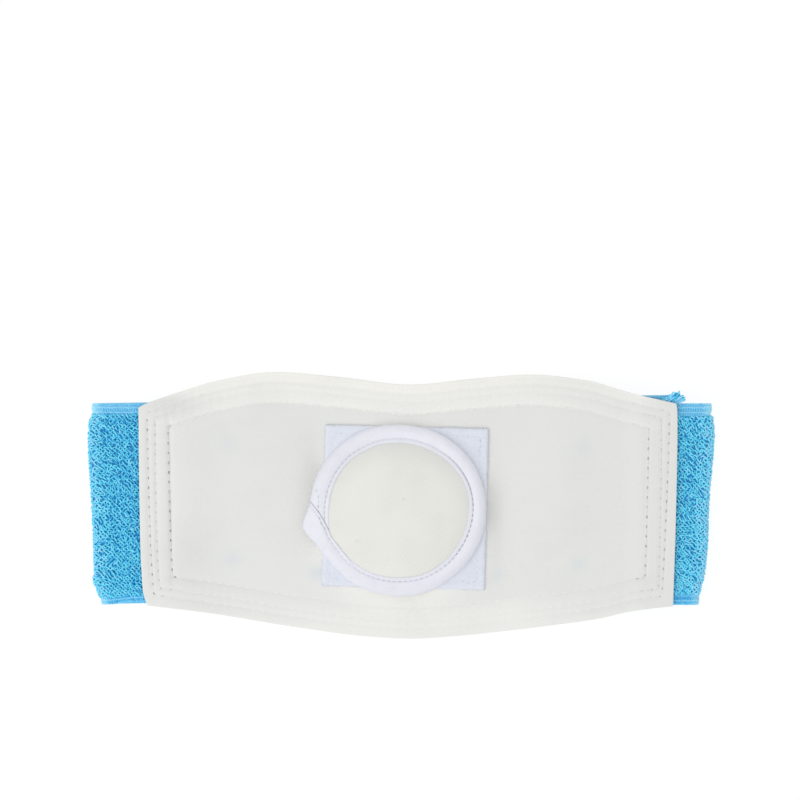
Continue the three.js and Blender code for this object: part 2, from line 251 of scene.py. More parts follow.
def elasticFinish():
    finish, shader, wire = newFinish("blueElastic", 0.9, 0.0, 0.05)
    edge, fold = attribute(wire, "edge"), attribute(wire, "fold")
    coords = objectCoords(wire)
    uneven, fine = noise(wire, coords, 900), noise(wire, coords, 1900, 1.0)
    ribs = ((attribute(wire, "along") + uneven * 0.4) * (2 * math.pi / selvedgeLook["ribPitch"])).wave()
    stops = [(place / selvedgeLook["span"], colour) for place, colour in selvedgeLook["rows"]]
    band = wire.add("ShaderNodeValToRGB", {"stops": stops}, {0: edge * (1 / selvedgeLook["span"])})
    ribRows = edge.between(2.0, 2.3) * (1 - edge.between(3.3, 3.5))
    ribRows = ribRows + edge.between(3.9, 4.1) * (1 - edge.between(4.6, 4.9))
    ticks = edge.between(0.3, 0.6) * (1 - edge.between(1.3, 1.6)) * uneven.between(0.45, 0.65)
    gaps = 1 - ribs.between(0.2, 0.7)
    outer = edge.between(0.1, 0.4) * (1 - edge.between(1.3, 1.6))
    dark = (ribRows * 0.9 + edge.between(1.2, 2) * 0.22 + outer * 0.4) * gaps + ticks * 0.4
    dark = dark + fine.between(0.48, 0.68) * 0.45 * (1 - edge.between(4.8, 5.4))
    cloth = dark.mixed(band, selvedgeLook["gap"])
    cloth = (fold + (1 - fine.between(0.34, 0.5)) * 0.25).mixed(cloth, selvedgeLook["pale"])
    paint(wire, shader, cloth, ribs * ribRows + ticks, 0.4, 0.2)
    return finish


# the raised colour is painted light
loopLook = {"plain": srgb(223, 227, 237), "shade": srgb(211, 216, 229), "raised": srgb(240, 243, 250)}


def loopFinish():
    finish, shader, wire = newFinish("loopCloth", 0.95, 0.1)
    coords = objectCoords(wire)
    fluff, soft = noise(wire, coords, 1100, 3.0), noise(wire, coords, 160)
    shade = (1 - fluff.between(0.3, 0.62)) * 0.35 + soft.between(0.5, 0.8) * 0.3
    cloth = shade.mixed(loopLook["plain"], loopLook["shade"])
    # painted light near the pad's edge
    cloth = (attribute(wire, "lift") * 0.3).mixed(cloth, loopLook["raised"])
    paint(wire, shader, cloth, fluff, 0.08)
    return finish


twillLook = {"plain": srgb(232, 232, 226), "furrow": srgb(214, 214, 208), "fleck": srgb(196, 193, 184),
             "shade": srgb(206, 206, 208), "pitch": 0.95, "steepDeg": 69, "strength": 0.2}


def twillFinish():
    finish, shader, wire = newFinish("padTwill", 0.95)
    coords = objectCoords(wire)
    x, y = axesOf(wire, coords)
    steep = math.radians(twillLook["steepDeg"])
    turns = 2 * math.pi / (twillLook["pitch"] * mm)
    wander = noise(wire, coords, 130, 1.0) * 2.2
    ridge = ((x * math.sin(steep) + y * math.cos(steep)) * turns + wander).wave()
    step = ((y * math.sin(steep) - x * math.cos(steep)) * turns * 0.8 + wander * 2).wave()
    patchy = noise(wire, coords, 60).between(0.35, 0.7)
    furrow = (1 - ridge) * (0.12 + patchy * 0.4) + (1 - step) * 0.08
    cloth = furrow.mixed(twillLook["plain"], twillLook["furrow"])
    cloth = attribute(wire, "soil").mixed(cloth, twillLook["shade"])
    cloth = attribute(wire, "fleck").mixed(cloth, twillLook["fleck"])
    paint(wire, shader, cloth, ridge + step * 0.3, twillLook["strength"])
    return finish


tapeLook = {"plain": srgb(238, 239, 247), "shade": srgb(160, 160, 170), "pitch": 0.55}


def tapeFinish():
    finish, shader, wire = newFinish("bindingTape", 0.85)
    x, y = axesOf(wire, attribute(wire, "cloth", "Vector"))
    turns = 2 * math.pi / tapeLook["pitch"]
    weave = ((x + y) * turns).wave() * ((x - y) * turns).wave()
    uneven = noise(wire, objectCoords(wire), 260).between(0.4, 0.8)
    shade = uneven * 0.06 + weave * 0.03 + attribute(wire, "soil")
    paint(wire, shader, shade.mixed(tapeLook["plain"], tapeLook["shade"]), weave, 0.15)
    return finish


def threadFinish(name, pale, dark):
    finish, shader, wire = newFinish(name, 0.8)
    tone = attribute(wire, "tone") + (noise(wire, objectCoords(wire), 3000, 1.0) - 0.5) * 0.2
    paint(wire, shader, tone.mixed(pale, dark))
    return finish


def hookFinish(name, pale, dark, pitch):
    finish, shader, wire = newFinish(name, 0.55)
    coords = objectCoords(wire)
    x, y = axesOf(wire, coords)
    turns = 2 * math.pi / (pitch * mm)
    hooks = ((x * turns).wave() * (y * turns).wave()).between(0.3, 0.8)
    cloth = (hooks * 0.7 + noise(wire, coords, 500) * 0.3).mixed(dark, pale)
    paint(wire, shader, cloth, hooks, 0.7, 0.4)
    return finish


# shared mesh tools

def smoothTable(rows):
    xs, ys = np.array(rows, float).T
    secant = np.diff(ys) / np.diff(xs)
    product = secant[:-1] * secant[1:]
    total = np.where(product > 0, secant[:-1] + secant[1:], 1)
    slope = np.concatenate([secant[:1], np.where(product > 0, 2 * product / total, 0), secant[-1:]])

    def value(at):
        at = np.clip(at, xs[0], xs[-1])
        k = np.clip(np.searchsorted(xs, at) - 1, 0, len(xs) - 2)
        span = xs[k + 1] - xs[k]
        t = (at - xs[k]) / span
        eased = ys[k] * (1 - t) ** 2 * (1 + 2 * t) + ys[k + 1] * t * t * (3 - 2 * t)
        return eased + span * t * (1 - t) * (slope[k] * (1 - t) - slope[k + 1] * t)
    return value


def smoothstep(value, low, high):
    t = np.clip((value - low) / (high - low), 0, 1)
    return t * t * (3 - 2 * t)


def hill(value, middle, width):
    return np.exp(-((value - middle) / width) ** 2)


def ripple(x, y, wavelength, seed, waves=7):
    rng = np.random.default_rng(seed)
    total = np.zeros_like(np.asarray(x, float))
    for turn, phase, stretch in rng.uniform((0, 0, 0.7), (math.pi, 6.3, 1.4), (waves, 3)):
        reach = 2 * math.pi / (wavelength * stretch)
        total += np.sin(reach * (x * math.cos(turn) + y * math.sin(turn)) + phase)
    return total / waves


def addPiece(name, points, faces, finish):
    mesh = bpy.data.meshes.new(name)
    mesh.from_pydata((np.asarray(points) * mm).tolist(), [], [list(face) for face in faces])
    mesh.polygons.foreach_set("use_smooth", [True] * len(mesh.polygons))
    if finish is not None:
        mesh.materials.append(finish)
    piece = bpy.data.objects.new(name, mesh)
    scene.collection.objects.link(piece)
    return piece


def giveAttribute(piece, name, values, kind="FLOAT"):
    layer = piece.data.attributes.new(name, kind, "POINT")
    layer.data.foreach_set("value" if kind == "FLOAT" else "vector", np.asarray(values, np.float32).ravel())


def giveSlab(piece, name, upper, lower=None):
    giveAttribute(piece, name, np.concatenate([upper, upper if lower is None else lower]))


def flatGrid(first, second):
    return [grid.ravel() for grid in np.meshgrid(first, second, indexing="ij")]


def flatTree(points):
    # finds the nearest of these points as seen from above
    tree = kdtree.KDTree(len(points))
    for k, point in enumerate(points):
        tree.insert((point[0], point[1], 0), k)
    tree.balance()
    return tree


def pointsOf(mesh):
    flat = np.zeros(len(mesh.vertices) * 3, np.float32)
    mesh.vertices.foreach_get("co", flat)
    return flat.reshape(-1, 3)


def bakedMesh(piece):
    mesh = bpy.data.meshes.new_from_object(piece.evaluated_get(bpy.context.evaluated_depsgraph_get()))
    piece.modifiers.clear()
    return mesh


def pointing(heading, rise=0.0):
    return np.stack([np.cos(heading), np.sin(heading), rise + 0 * heading], -1)


def gridQuads(index):
    return np.stack([index[:-1, :-1], index[1:, :-1], index[1:, 1:], index[:-1, 1:]], -1).reshape(-1, 4)


def slabFaces(columns, rows):
    upper = np.arange(columns * rows).reshape(columns, rows)
    rim = np.concatenate([upper[:-1, 0], upper[-1, :-1], upper[:0:-1, -1], upper[0, :0:-1]])
    after, drop = np.roll(rim, -1), columns * rows
    wall = np.stack([rim + drop, after + drop, after, rim], -1)
    return np.concatenate([gridQuads(upper), gridQuads(upper)[:, ::-1] + drop, wall]).tolist()


def dress(piece, node=None):
    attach(piece, "root")
    if node:
        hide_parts(node)
    print(f"{piece.name}: {len(piece.data.polygons)} faces")


# yarns and needle holes, placed on points by geometry nodes

def newTree(name, inputs):
    tree = bpy.data.node_groups.new(name, "GeometryNodeTree")
    for label, kind in inputs.items():
        tree.interface.new_socket(label, in_out="INPUT", socket_type="NodeSocket" + kind)
    tree.interface.new_socket("Geometry", in_out="OUTPUT", socket_type="NodeSocketGeometry")
    wire = Wire(tree)
    return tree, wire, wire.add("NodeGroupInput")


def placeOnPoints(tree, wire, given, shape):
    def named(name, kind):
        return wire.add("GeometryNodeInputNamedAttribute", {"data_type": kind}, {"Name": name})
    turned = wire.add("FunctionNodeAlignRotationToVector", {"axis": "X"},
                      {"Vector": named("along", "FLOAT_VECTOR")})
    stood = wire.add("FunctionNodeAlignRotationToVector", {"axis": "Z", "pivot_axis": "X"},
                     {"Rotation": turned, "Vector": named("up", "FLOAT_VECTOR")})
    placed = wire.add("GeometryNodeInstanceOnPoints", {},
                      {"Points": given.out("Points"), "Instance": shape, "Rotation": stood,
                       "Scale": named("size", "FLOAT")})
    real = wire.add("GeometryNodeRealizeInstances", {}, {"Geometry": placed})
    rounded = wire.add("GeometryNodeSetShadeSmooth", {}, {0: real})
    finished = wire.add("GeometryNodeSetMaterial", {}, {"Geometry": rounded, "Material": given.out("Finish")})
    wire.add("NodeGroupOutput", {}, {0: finished})
    return tree


def makeYarnTree():
    inputs = {"Points": "Geometry", "Length": "Float", "Arch": "Float", "Root": "Float", "Radius": "Float",
              "Segments": "Int", "Sides": "Int", "Finish": "Material"}
    tree, wire, given = newTree("bentYarns", inputs)
    half = given.out("Length") * 0.5
    low = given.out("Root") * -1
    start = wire.add("ShaderNodeCombineXYZ", {}, {"X": half * -1, "Z": low})
    middle = wire.add("ShaderNodeCombineXYZ", {}, {"Z": given.out("Arch") * 2 + given.out("Root")})
    end = wire.add("ShaderNodeCombineXYZ", {}, {"X": half, "Z": low})
    bend = wire.add("GeometryNodeCurveQuadraticBezier", {},
                    {"Resolution": given.out("Segments"), "Start": start, "Middle": middle, "End": end})
    ring = wire.add("GeometryNodeCurvePrimitiveCircle", {"mode": "RADIUS"},
                    {"Resolution": given.out("Sides"), "Radius": given.out("Radius")})
    share = wire.add("GeometryNodeSplineParameter").out("Factor")
    arch = share * (1 - share) * 4  # 0 at the two roots, 1 on top
    bend = wire.add("GeometryNodeStoreNamedAttribute", {}, {"Geometry": bend, "Name": "arch", "Value": arch})
    yarn = wire.add("GeometryNodeCurveToMesh", {}, {"Curve": bend, "Profile Curve": ring, "Fill Caps": True})
    return placeOnPoints(tree, wire, given, yarn)


def makeHoleTree():
    inputs = {"Points": "Geometry", "Width": "Float", "Flatness": "Float", "Finish": "Material"}
    tree, wire, given = newTree("needleHoles", inputs)
    ball = wire.add("GeometryNodeMeshIcoSphere", {}, {"Radius": given.out("Width") * 0.5, "Subdivisions": 2})
    squash = wire.add("ShaderNodeCombineXYZ", {}, {"X": 1.0, "Y": 0.42, "Z": given.out("Flatness")})
    flat = wire.add("GeometryNodeTransform", {}, {"Geometry": ball, "Scale": squash})
    return placeOnPoints(tree, wire, given, flat)


def growOnPoints(name, tree, spots, sizes, finish):
    piece = addPiece(name, spots["place"], [], None)
    for key in ("along", "up"):
        giveAttribute(piece, key, spots[key], "FLOAT_VECTOR")
    for key in ("size", "tone"):
        giveAttribute(piece, key, spots[key])
    grow = piece.modifiers.new("grow", "NODES")
    grow.node_group = tree
    socketOf = {item.name: item.identifier for item in tree.interface.items_tree if item.in_out == "INPUT"}
    for label, value in sizes.items():
        grow[socketOf[label]] = value if isinstance(value, int) or label == "Flatness" else value * mm
    grow[socketOf["Finish"]] = finish
    piece.data = bakedMesh(piece)
    for key in ("along", "up", "size"):
        if key in piece.data.attributes:
            piece.data.attributes.remove(piece.data.attributes[key])
    dress(piece)
    return piece


def spotsAt(place, along, rng, tone, sizes=(0.9, 1.1)):
    count = len(place)
    return {"place": np.asarray(place), "along": np.asarray(along),
            "up": np.tile((0.0, 0.0, 1.0), (count, 1)),
            "size": rng.uniform(*sizes, count), "tone": np.broadcast_to(tone, count)}


# the contoured panel

upperEdge = smoothTable([(-105.2, 38.9), (-102, 40.5), (-98, 42), (-88.4, 45.2), (-72.4, 50), (-50.4, 53.2),
                         (-24.4, 51.2), (3.6, 48.2), (27.6, 50.4), (52, 52.2), (75.6, 49.6), (86, 46.5),
                         (95.6, 43.8), (110.6, 40.4)])
lowerEdge = smoothTable([(-101.6, -40), (-80.4, -42.7), (-40.4, -49.3), (-12.4, -52.9), (3.6, -53.7),
                         (23.6, -52.5), (63.6, -47.6), (79, -45.2), (89, -42.8), (99, -41.1), (108.8, -40.1)])
leftEnd = smoothTable([(-40, -101.4), (-34, -103.1), (-10, -104.25), (40, -104.9)])
rightEnd = smoothTable([(-40.4, 108.3), (-10, 109.3), (34, 110.1), (37, 110), (40.4, 109.7)])
panelRest = smoothTable([(-106, 4.8), (-90, 4.7), (-66, 2.4), (34, 2.4), (67, 6), (88, 6.3), (97, 7.6),
                         (111, 7.6)])
panelSize = {"field": 1.8, "rim": 2.1, "edge": 1.85, "edgeRound": 0.4, "overhang": 0.5, "step": 0.92,
             "hem": 16, "hemStep": 0.55, "hemSeam": 12, "cornerRound": 0.5, "topLeftRound": 0.8,
             "valley": 0.3, "valleyWidth": 2.4, "gridLength": 215, "gridHeight": 100,
             "endLeft": -88, "endRight": 92, "droopAbove": 45, "droopBelow": -41.5,
             "droop": 0.55, "droopWidth": 11}
# each has x, y, its width or widths, and its depth or amount
panelDents = [(-37, 8, 5, 24, 0.6), (42, -4, 6, 20, 0.35), (-72, 8, 16, 18, -0.35), (66, -14, 18, 16, -0.3)]
panelShade = [(-35.6, 8, 4, 20, 0.65), (37.6, -4, 3.5, 17, 0.6), (-92, 40, 9, 5, 0.6),
              (-84, -17, 8, 10, 0.35), (-84, 22, 8, 12, 0.12), (-54, 22, 13, 9, 0.15)]
panelSpots = [(-68.8, 24.4, 3.4, 0.5), (-67.2, -21.6, 3.4, 0.62), (-34, -27.2, 3, 0.75), (38.4, -28, 3, 0.55),
              (70.8, -23.2, 3.2, 0.62), (72.8, 22.8, 3.4, 0.45)]
# each row also sets how much shade is painted along it at the ends
panelSeams = [  # how far each row lies from the edges, and how dark its needle holes are at the ends
    {"top": 3.9, "bottom": 4.5, "left": 3.4, "leftDown": 4.3, "rightUp": 3.2, "rightDown": 4.6,
     "dark": 0.62, "soil": 0.3},
    {"top": 7, "bottom": 7.5, "left": 6.5, "leftDown": 6.7, "rightUp": 6.5, "rightDown": 6.0,
     "dark": 0.26, "soil": 0.1},
    {"top": 12.2, "bottom": 12.7, "left": 11.7, "leftDown": 12.3, "rightUp": 11.6, "rightDown": 11.6,
     "dark": 0.68, "soil": 0.3},
]
seamSize = {"pitch": 3.85, "groove": 0.1, "grooveWidth": 0.7, "dimple": 0.15, "dimpleWidth": 0.8,
            "pucker": 0.075, "gather": 3.7}
seamThread = {"Length": 2.7, "Arch": 0.03, "Root": 0.2, "Radius": 0.15, "Segments": 6, "Sides": 5}
seamHole = {"Width": 1.35, "Flatness": 0.16}
endStrips = [(0, 3.6, 0.55), (3.6, 6.6, 0.35), (6.6, 12, 0.45)]  # the left end's sewn strips: from, to, shade


def panelSides(x, y):
    return x - leftEnd(y), rightEnd(y) - x, y - lowerEdge(x), upperEdge(x) - y


def scallops(x, y):
    # the stitches draw the hem's inner edge in
    return np.sin(2.6 * x + 3 * ripple(x, y, 20, 8))


def panelUnderside(x, y):
    # the middle of each long edge lies past the straps and sinks
    past = np.maximum(y - panelSize["droopAbove"], panelSize["droopBelow"] - y)
    droop = panelSize["droop"] * smoothstep(past, 0, panelSize["droopWidth"])
    return panelRest(x) * (1 - droop) + panelSize["overhang"] * droop


def panelTop(x, y):
    fromLeft, fromRight, fromLow, fromTop = panelSides(x, y)
    ends, sides = np.minimum(fromLeft, fromRight), np.minimum(fromLow, fromTop)
    inset = np.minimum(ends, sides)
    pastSeam = inset + 0.2 * scallops(x, y) - panelSize["hemSeam"]
    rounded = np.sqrt(smoothstep(inset, 0, panelSize["edgeRound"]))
    wall = panelSize["edge"] + (panelSize["rim"] - panelSize["edge"]) * rounded
    below = 1 - smoothstep(y, -30, 0)  # the step is slight along the lower hem
    stepped = (1 - 0.8 * below) * smoothstep(pastSeam, -0.1, 0.5)
    wall = wall + (panelSize["field"] - panelSize["rim"]) * stepped
    inner = np.maximum(inset - panelSize["hemSeam"], 0)
    valley = panelSize["valley"] * (1 - below) * smoothstep(pastSeam, -0.2, 0.4)
    wall = wall - valley * np.exp(-inner / panelSize["valleyWidth"])
    for dentX, dentY, across, up, depth in panelDents:
        wall = wall - depth * hill(x, dentX, across) * hill(y, dentY, up)
    calm = smoothstep(np.hypot(x - 1, y + 1), 40, 60)  # the field lies flat under the patch
    wall = wall + 0.2 * calm * ripple(x, y, 34, 3) + 0.04 * calm * ripple(x, y, 9, 4)
    along = np.where(ends > sides, x, y)
    gathers = np.sin(2 * math.pi * along / seamSize["gather"] + 2.5 * ripple(x, y, 30, 6))
    gathered = hill(inset, 8, 5) * (0.2 + 0.8 * smoothstep(ripple(x, y, 60, 5), -0.2, 0.4))
    return panelUnderside(x, y) + wall + seamSize["pucker"] * gathered * gathers


def seamPath(seam):
    def corner(side, end, sideInset, endInset):
        y = 0.0
        for _ in range(4):
            x = end(y) + endInset
            y = side(x) + sideInset
        return x, y
    topLeft = corner(upperEdge, leftEnd, -seam["top"], seam["left"])
    topRight = corner(upperEdge, rightEnd, -seam["top"], -seam["rightUp"])
    lowRight = corner(lowerEdge, rightEnd, seam["bottom"], -seam["rightDown"])
    lowLeft = corner(lowerEdge, leftEnd, seam["bottom"], seam["leftDown"])
    x = np.linspace(topLeft[0], topRight[0], 500)
    top = np.stack([x, upperEdge(x) - seam["top"]], 1)
    y = np.linspace(topRight[1], lowRight[1], 200)
    share = np.linspace(0, 1, 200)
    right = np.stack([rightEnd(y) - seam["rightUp"] * (1 - share) - seam["rightDown"] * share, y], 1)
    x = np.linspace(lowRight[0], lowLeft[0], 500)
    bottom = np.stack([x, lowerEdge(x) + seam["bottom"]], 1)
    y = np.linspace(lowLeft[1], topLeft[1], 200)
    left = np.stack([leftEnd(y) + seam["leftDown"] * (1 - share) + seam["left"] * share, y], 1)
    return np.concatenate([top[:-1], right[:-1], bottom[:-1], left])


def evenly(path, pitch):
    run = np.concatenate([[0], np.cumsum(np.hypot(*np.diff(path, axis=0).T))])
    count = int(run[-1] / pitch)
    at = (np.arange(count * 2) * 0.5 + 0.25) * run[-1] / count
    return np.stack([np.interp(at, run, path[:, k]) for k in (0, 1)], 1)


def panelGrid():
    def shares(length):
        # close rows for the turned edge and the sewn hem
        near = np.concatenate([[0, 0.2, 0.45], np.arange(0.9, panelSize["hem"], panelSize["hemStep"])])
        inner = length - 2 * panelSize["hem"]
        field = np.linspace(panelSize["hem"], length - panelSize["hem"], int(inner / panelSize["step"]))
        return np.concatenate([near, field, length - near[::-1]]) / length
    u, v = np.meshgrid(shares(panelSize["gridLength"]), shares(panelSize["gridHeight"]), indexing="ij")
    columns, rows = u.shape
    x = -105.2 + u * 215.8  # a first guess, which the rounds below set right
    for _ in range(3):
        y = lowerEdge(x) + v * (upperEdge(x) - lowerEdge(x))
        x = leftEnd(y) + u * (rightEnd(y) - leftEnd(y))
    # soften the four corners
    fromLeft, fromRight, fromLow, fromTop = panelSides(x, y)
    r = np.where((fromLeft < 9) & (fromTop < 9), panelSize["topLeftRound"], panelSize["cornerRound"])
    p = np.clip(1 - np.minimum(fromLeft, fromRight) / r, 0, 1)
    q = np.clip(1 - np.minimum(fromLow, fromTop) / r, 0, 1)
    drawn = 1 - np.maximum(p, q) / np.maximum(np.hypot(p, q), 1e-6)
    x = x + np.where(fromLeft < fromRight, 1, -1) * p * drawn * r
    y = y + np.where(fromLow < fromTop, 1, -1) * q * drawn * r
    return columns, rows, x.ravel(), y.ravel()


def hemTone(x, fromTop, fromLow):
    # painted light and shade: each sewn strip is padded, so it is painted from light to dark between its
    # seams
    far = smoothstep(np.abs(x + 8), 25, 105)
    low = smoothstep(np.abs(x - 15), 20, 105)
    fall = [-(0.2 + 0.4 * low) * share for share in (1, 0.6, 0.8)]
    # painted light on the turned edge
    lit = 0.6 * (1 - smoothstep(fromTop, 0.3, 1.2))  # the turned edge
    sides = {"top": (fromTop, 0.92 + lit - 0.45 * far, (0, 0.15, 0.3), (-0.42, -0.23)),
             "bottom": (fromLow, 0.5 - 0.4 * low, fall, [-slope - 0.05 * (1 + low) for slope in fall])}
    total = np.zeros_like(x)
    for side, (away, tone, slopes, jumps) in sides.items():
        rows = [0] + [seam[side] for seam in panelSeams]
        for k in range(3):
            tone = tone + slopes[k] * np.clip((away - rows[k]) / (rows[k + 1] - rows[k]), 0, 1)
            if k < 2:
                tone = tone + jumps[k] * smoothstep(away, rows[k + 1] - 0.4, rows[k + 1] + 0.4)
        ragged = away + 0.25 * scallops(x, away)
        total = total + tone * (1 - smoothstep(ragged, rows[3] - 0.3, rows[3] + 0.3))
    return total


def sewnHollows(x, y, seams, marks):
    # how far the seams draw the cloth in, and the shade painted along them
    sunk, soil = np.zeros(x.size), np.zeros(x.size)
    fromLeft, fromRight, fromLow, fromTop = panelSides(x, y)
    ends, fromSide = np.minimum(fromLeft, fromRight), np.minimum(fromLow, fromTop)
    atEnd = smoothstep(fromSide, 2, 10) * (ends < 14)
    for seam, path, mark in zip(panelSeams, seams, marks):
        tree = flatTree(path)
        away = np.array([tree.find((px, py, 0))[2] for px, py in zip(x, y)])
        groove = hill(away, 0, seamSize["grooveWidth"])
        sunk = np.maximum(sunk, seamSize["groove"] * (1 + 1.2 * atEnd) * groove)
        soil = np.maximum(soil, (0.04 + seam["soil"] * atEnd * np.where(x < 0, 1, 0.5)) * hill(away, 0, 0.5))
        for px, py in mark[::2]:
            depth = seamSize["dimple"] * (0.25 if panelSize["endLeft"] < px < panelSize["endRight"] else 1)
            sunk = sunk + depth * hill(np.hypot(x - px, y - py), 0, seamSize["dimpleWidth"])
    return sunk, soil


def panelTones(x, y, soil):
    fromLeft, fromRight, fromLow, fromTop = panelSides(x, y)
    ends, fromSide = np.minimum(fromLeft, fromRight), np.minimum(fromLow, fromTop)
    spot = np.zeros(x.size)
    for spotX, spotY, width, amount in panelSpots:
        spot = np.maximum(spot, amount * hill(np.hypot(x - spotX, y - spotY), 0, width))
    for shadeX, shadeY, across, up, amount in panelShade:
        soil = soil + amount * hill(x, shadeX, across) * hill(y, shadeY, up)
    # the padded hem strips get painted light where this tone is above nought and painted shade where it is
    # below
    tone = hemTone(x, fromTop, fromLow) * smoothstep(ends, 3, 15)
    hem, soil = np.maximum(tone, 0), soil + 0.7 * np.maximum(-tone, 0)
    # painted light round the pad, most of all on its near side, lifts the shade the pad casts
    beside = np.hypot(*padLocal(np.stack([x, y], -1)).T) - padSize["radius"]
    nearSide = smoothstep(padSize["y"] - y, 5, 30) * hill(x, padSize["x"], 30)
    hem = np.maximum(hem, (0.9 + 0.1 * nearSide) * np.exp(-np.maximum(beside, 0) / (3 + 7 * nearSide)))
    # the left end's strips get painted shade towards their inner side and painted light at their outer side
    for start, end, amount in endStrips:
        share = (fromLeft - start) / (end - start)
        inside = (share > 0) * (share <= 1) * smoothstep(fromSide, 4, 13)
        soil = soil + amount * share ** 2 * inside
        hem = hem + 0.12 * (1 - share) * inside
    # painted light just inside the third seam at the left end
    hem = hem + 0.25 * hill(fromLeft, 12.6, 1.6) * (fromLeft > 12.1) * smoothstep(fromSide, 8, 13)
    return {"spot": spot, "soil": soil, "hem": hem}


def sewPanel(marks, thread, holeDark):
    rng = np.random.default_rng(21)
    threadSpots, holeSpots = [], []
    for seam, mark in zip(panelSeams, marks):
        ahead = np.roll(mark, -1, 0) - np.roll(mark, 1, 0)
        ahead = np.concatenate([ahead / np.linalg.norm(ahead, axis=1)[:, None], np.zeros((len(mark), 1))], 1)
        place = np.concatenate([mark, panelTop(mark[:, 0], mark[:, 1])[:, None] - seamSize["groove"]], 1)
        # the holes' dark ovals are their painted shade; the holes show where the blue strap lies under the
        # cloth, and fade along the hems
        markLeft, markRight, _, markTop = panelSides(*mark.T)
        fromEnd, fromHem = np.minimum(markLeft, markRight), markTop - seam["top"]
        faint = 0.1 * (1 - smoothstep(fromEnd, 8, 34))
        dark = faint + (seam["dark"] - faint) * (1 - smoothstep(fromEnd - seam["left"], 0.5, 8))
        dark = dark * rng.uniform(0.5, 1, len(mark))
        dark = dark * (0.4 + 0.6 * smoothstep(fromHem, 0.5, 4.5)) * np.where(mark[:, 0] > 0, 0.85, 1)
        dull = 0.25 * (1 - smoothstep(fromEnd, 12, 30))
        threadSpots.append(spotsAt(place[1::2] - (0, 0, 0.06), ahead[1::2], rng, dull[1::2]))
        rows = spotsAt(place[::2] - (0, 0, 0.13), ahead[::2], rng, dark[::2], (0.85, 1.1))
        holeSpots.append({key: values[dark[::2] > 0.02] for key, values in rows.items()})
    threadSpots, holeSpots = [{key: np.concatenate([spots[key] for spots in rows]) for key in rows[0]}
                              for rows in (threadSpots, holeSpots)]
    stitches = growOnPoints("panel_stitches", yarnTree, threadSpots, seamThread, thread)
    holes = growOnPoints("panel_needle_holes", holeTree, holeSpots, seamHole, holeDark)
    return stitches, holes


def makePanel(cotton, thread, holeDark):
    columns, rows, x, y = panelGrid()
    seams = [seamPath(seam) for seam in panelSeams]
    marks = [evenly(path, seamSize["pitch"]) for path in seams]
    sunk, soil = sewnHollows(x, y, seams, marks)
    upper = np.stack([x, y, panelTop(x, y) - sunk], -1)
    lower = np.stack([x, y, panelUnderside(x, y)], -1)
    panel = addPiece("support_panel_cloth", np.concatenate([upper, lower]), slabFaces(columns, rows), cotton)
    for name, values in panelTones(x, y, soil).items():
        giveSlab(panel, name, values, values * 0)
    dress(panel, "support_panel")
    stitches, holes = sewPanel(marks, thread, holeDark)


# the two terry straps

strapSize = {"width": 80.6, "middleY": 0.4, "ground": 1.1, "pile": 0.9, "selvedge": 5, "pileFrom": 5.4,
             "step": 1.6, "frayedCorner": 6, "roundFold": 3, "bareEnd": 10, "backPileFrom": 66}
leftStrap = {
    "name": "strap_left", "foldX": -125.2, "foldRadius": 1.7, "tiltDeg": 0.82, "backFirst": True, "seed": 7,
    "pileLow": 2.8, "pileHigh": 4.7, "filled": 0.25, "falling": 0.1, "tone": -0.03, "pinch": 1.1,
    "first": [(-122.5, 1), (34, 1), (67, 4.6), (93, 4.6), (103, 3.4), (113.2, 3.4)], "firstEnd": 113.2,
    "second": [(-122.5, 4.4), (-107, 3.4), (-92, 3.3)], "secondEnd": -92,
    "foldLine": [(-40.3, -121.1), (-37.2, -121.4), (-35.5, -122.1), (-33, -122.9), (-31, -124), (-28, -123.5),
                 (-20, -123.6), (0, -124.5), (24, -125.8), (32, -125.7), (36, -124.4), (37.6, -125),
                 (40.3, -124.9)],
}
rightStrap = {
    "name": "strap_right", "foldX": 125.2, "foldRadius": 2.6, "tiltDeg": 0, "backFirst": False, "seed": 17,
    "pileLow": 4.4, "pileHigh": 5, "filled": 0.5, "falling": 0.2, "tone": 0.06, "pinch": 0,
    "first": [(97, 6.2), (121.6, 6.2)], "firstEnd": 97,
    "second": [(63, 1), (121.6, 1)], "secondEnd": 63,
    "foldLine": [(-40.3, 120.3), (-36.8, 120.4), (-35, 120.4), (-30, 121.6), (-22, 122.8), (-14, 123.3),
                 (0, 123.7), (10, 124.5), (28, 125.9), (34, 125.4), (36, 125), (37.6, 125.5), (40.3, 125.4)],
}
frontLoop = {"Length": 1.9, "Arch": 0.5, "Root": 0.35, "Radius": 0.32, "Segments": 5, "Sides": 5}
backLoop = {"Length": 2.8, "Arch": 0.3, "Root": 0.2, "Radius": 0.32, "Segments": 3, "Sides": 4}
pileCell = {"front": 1.3, "back": 2.35}


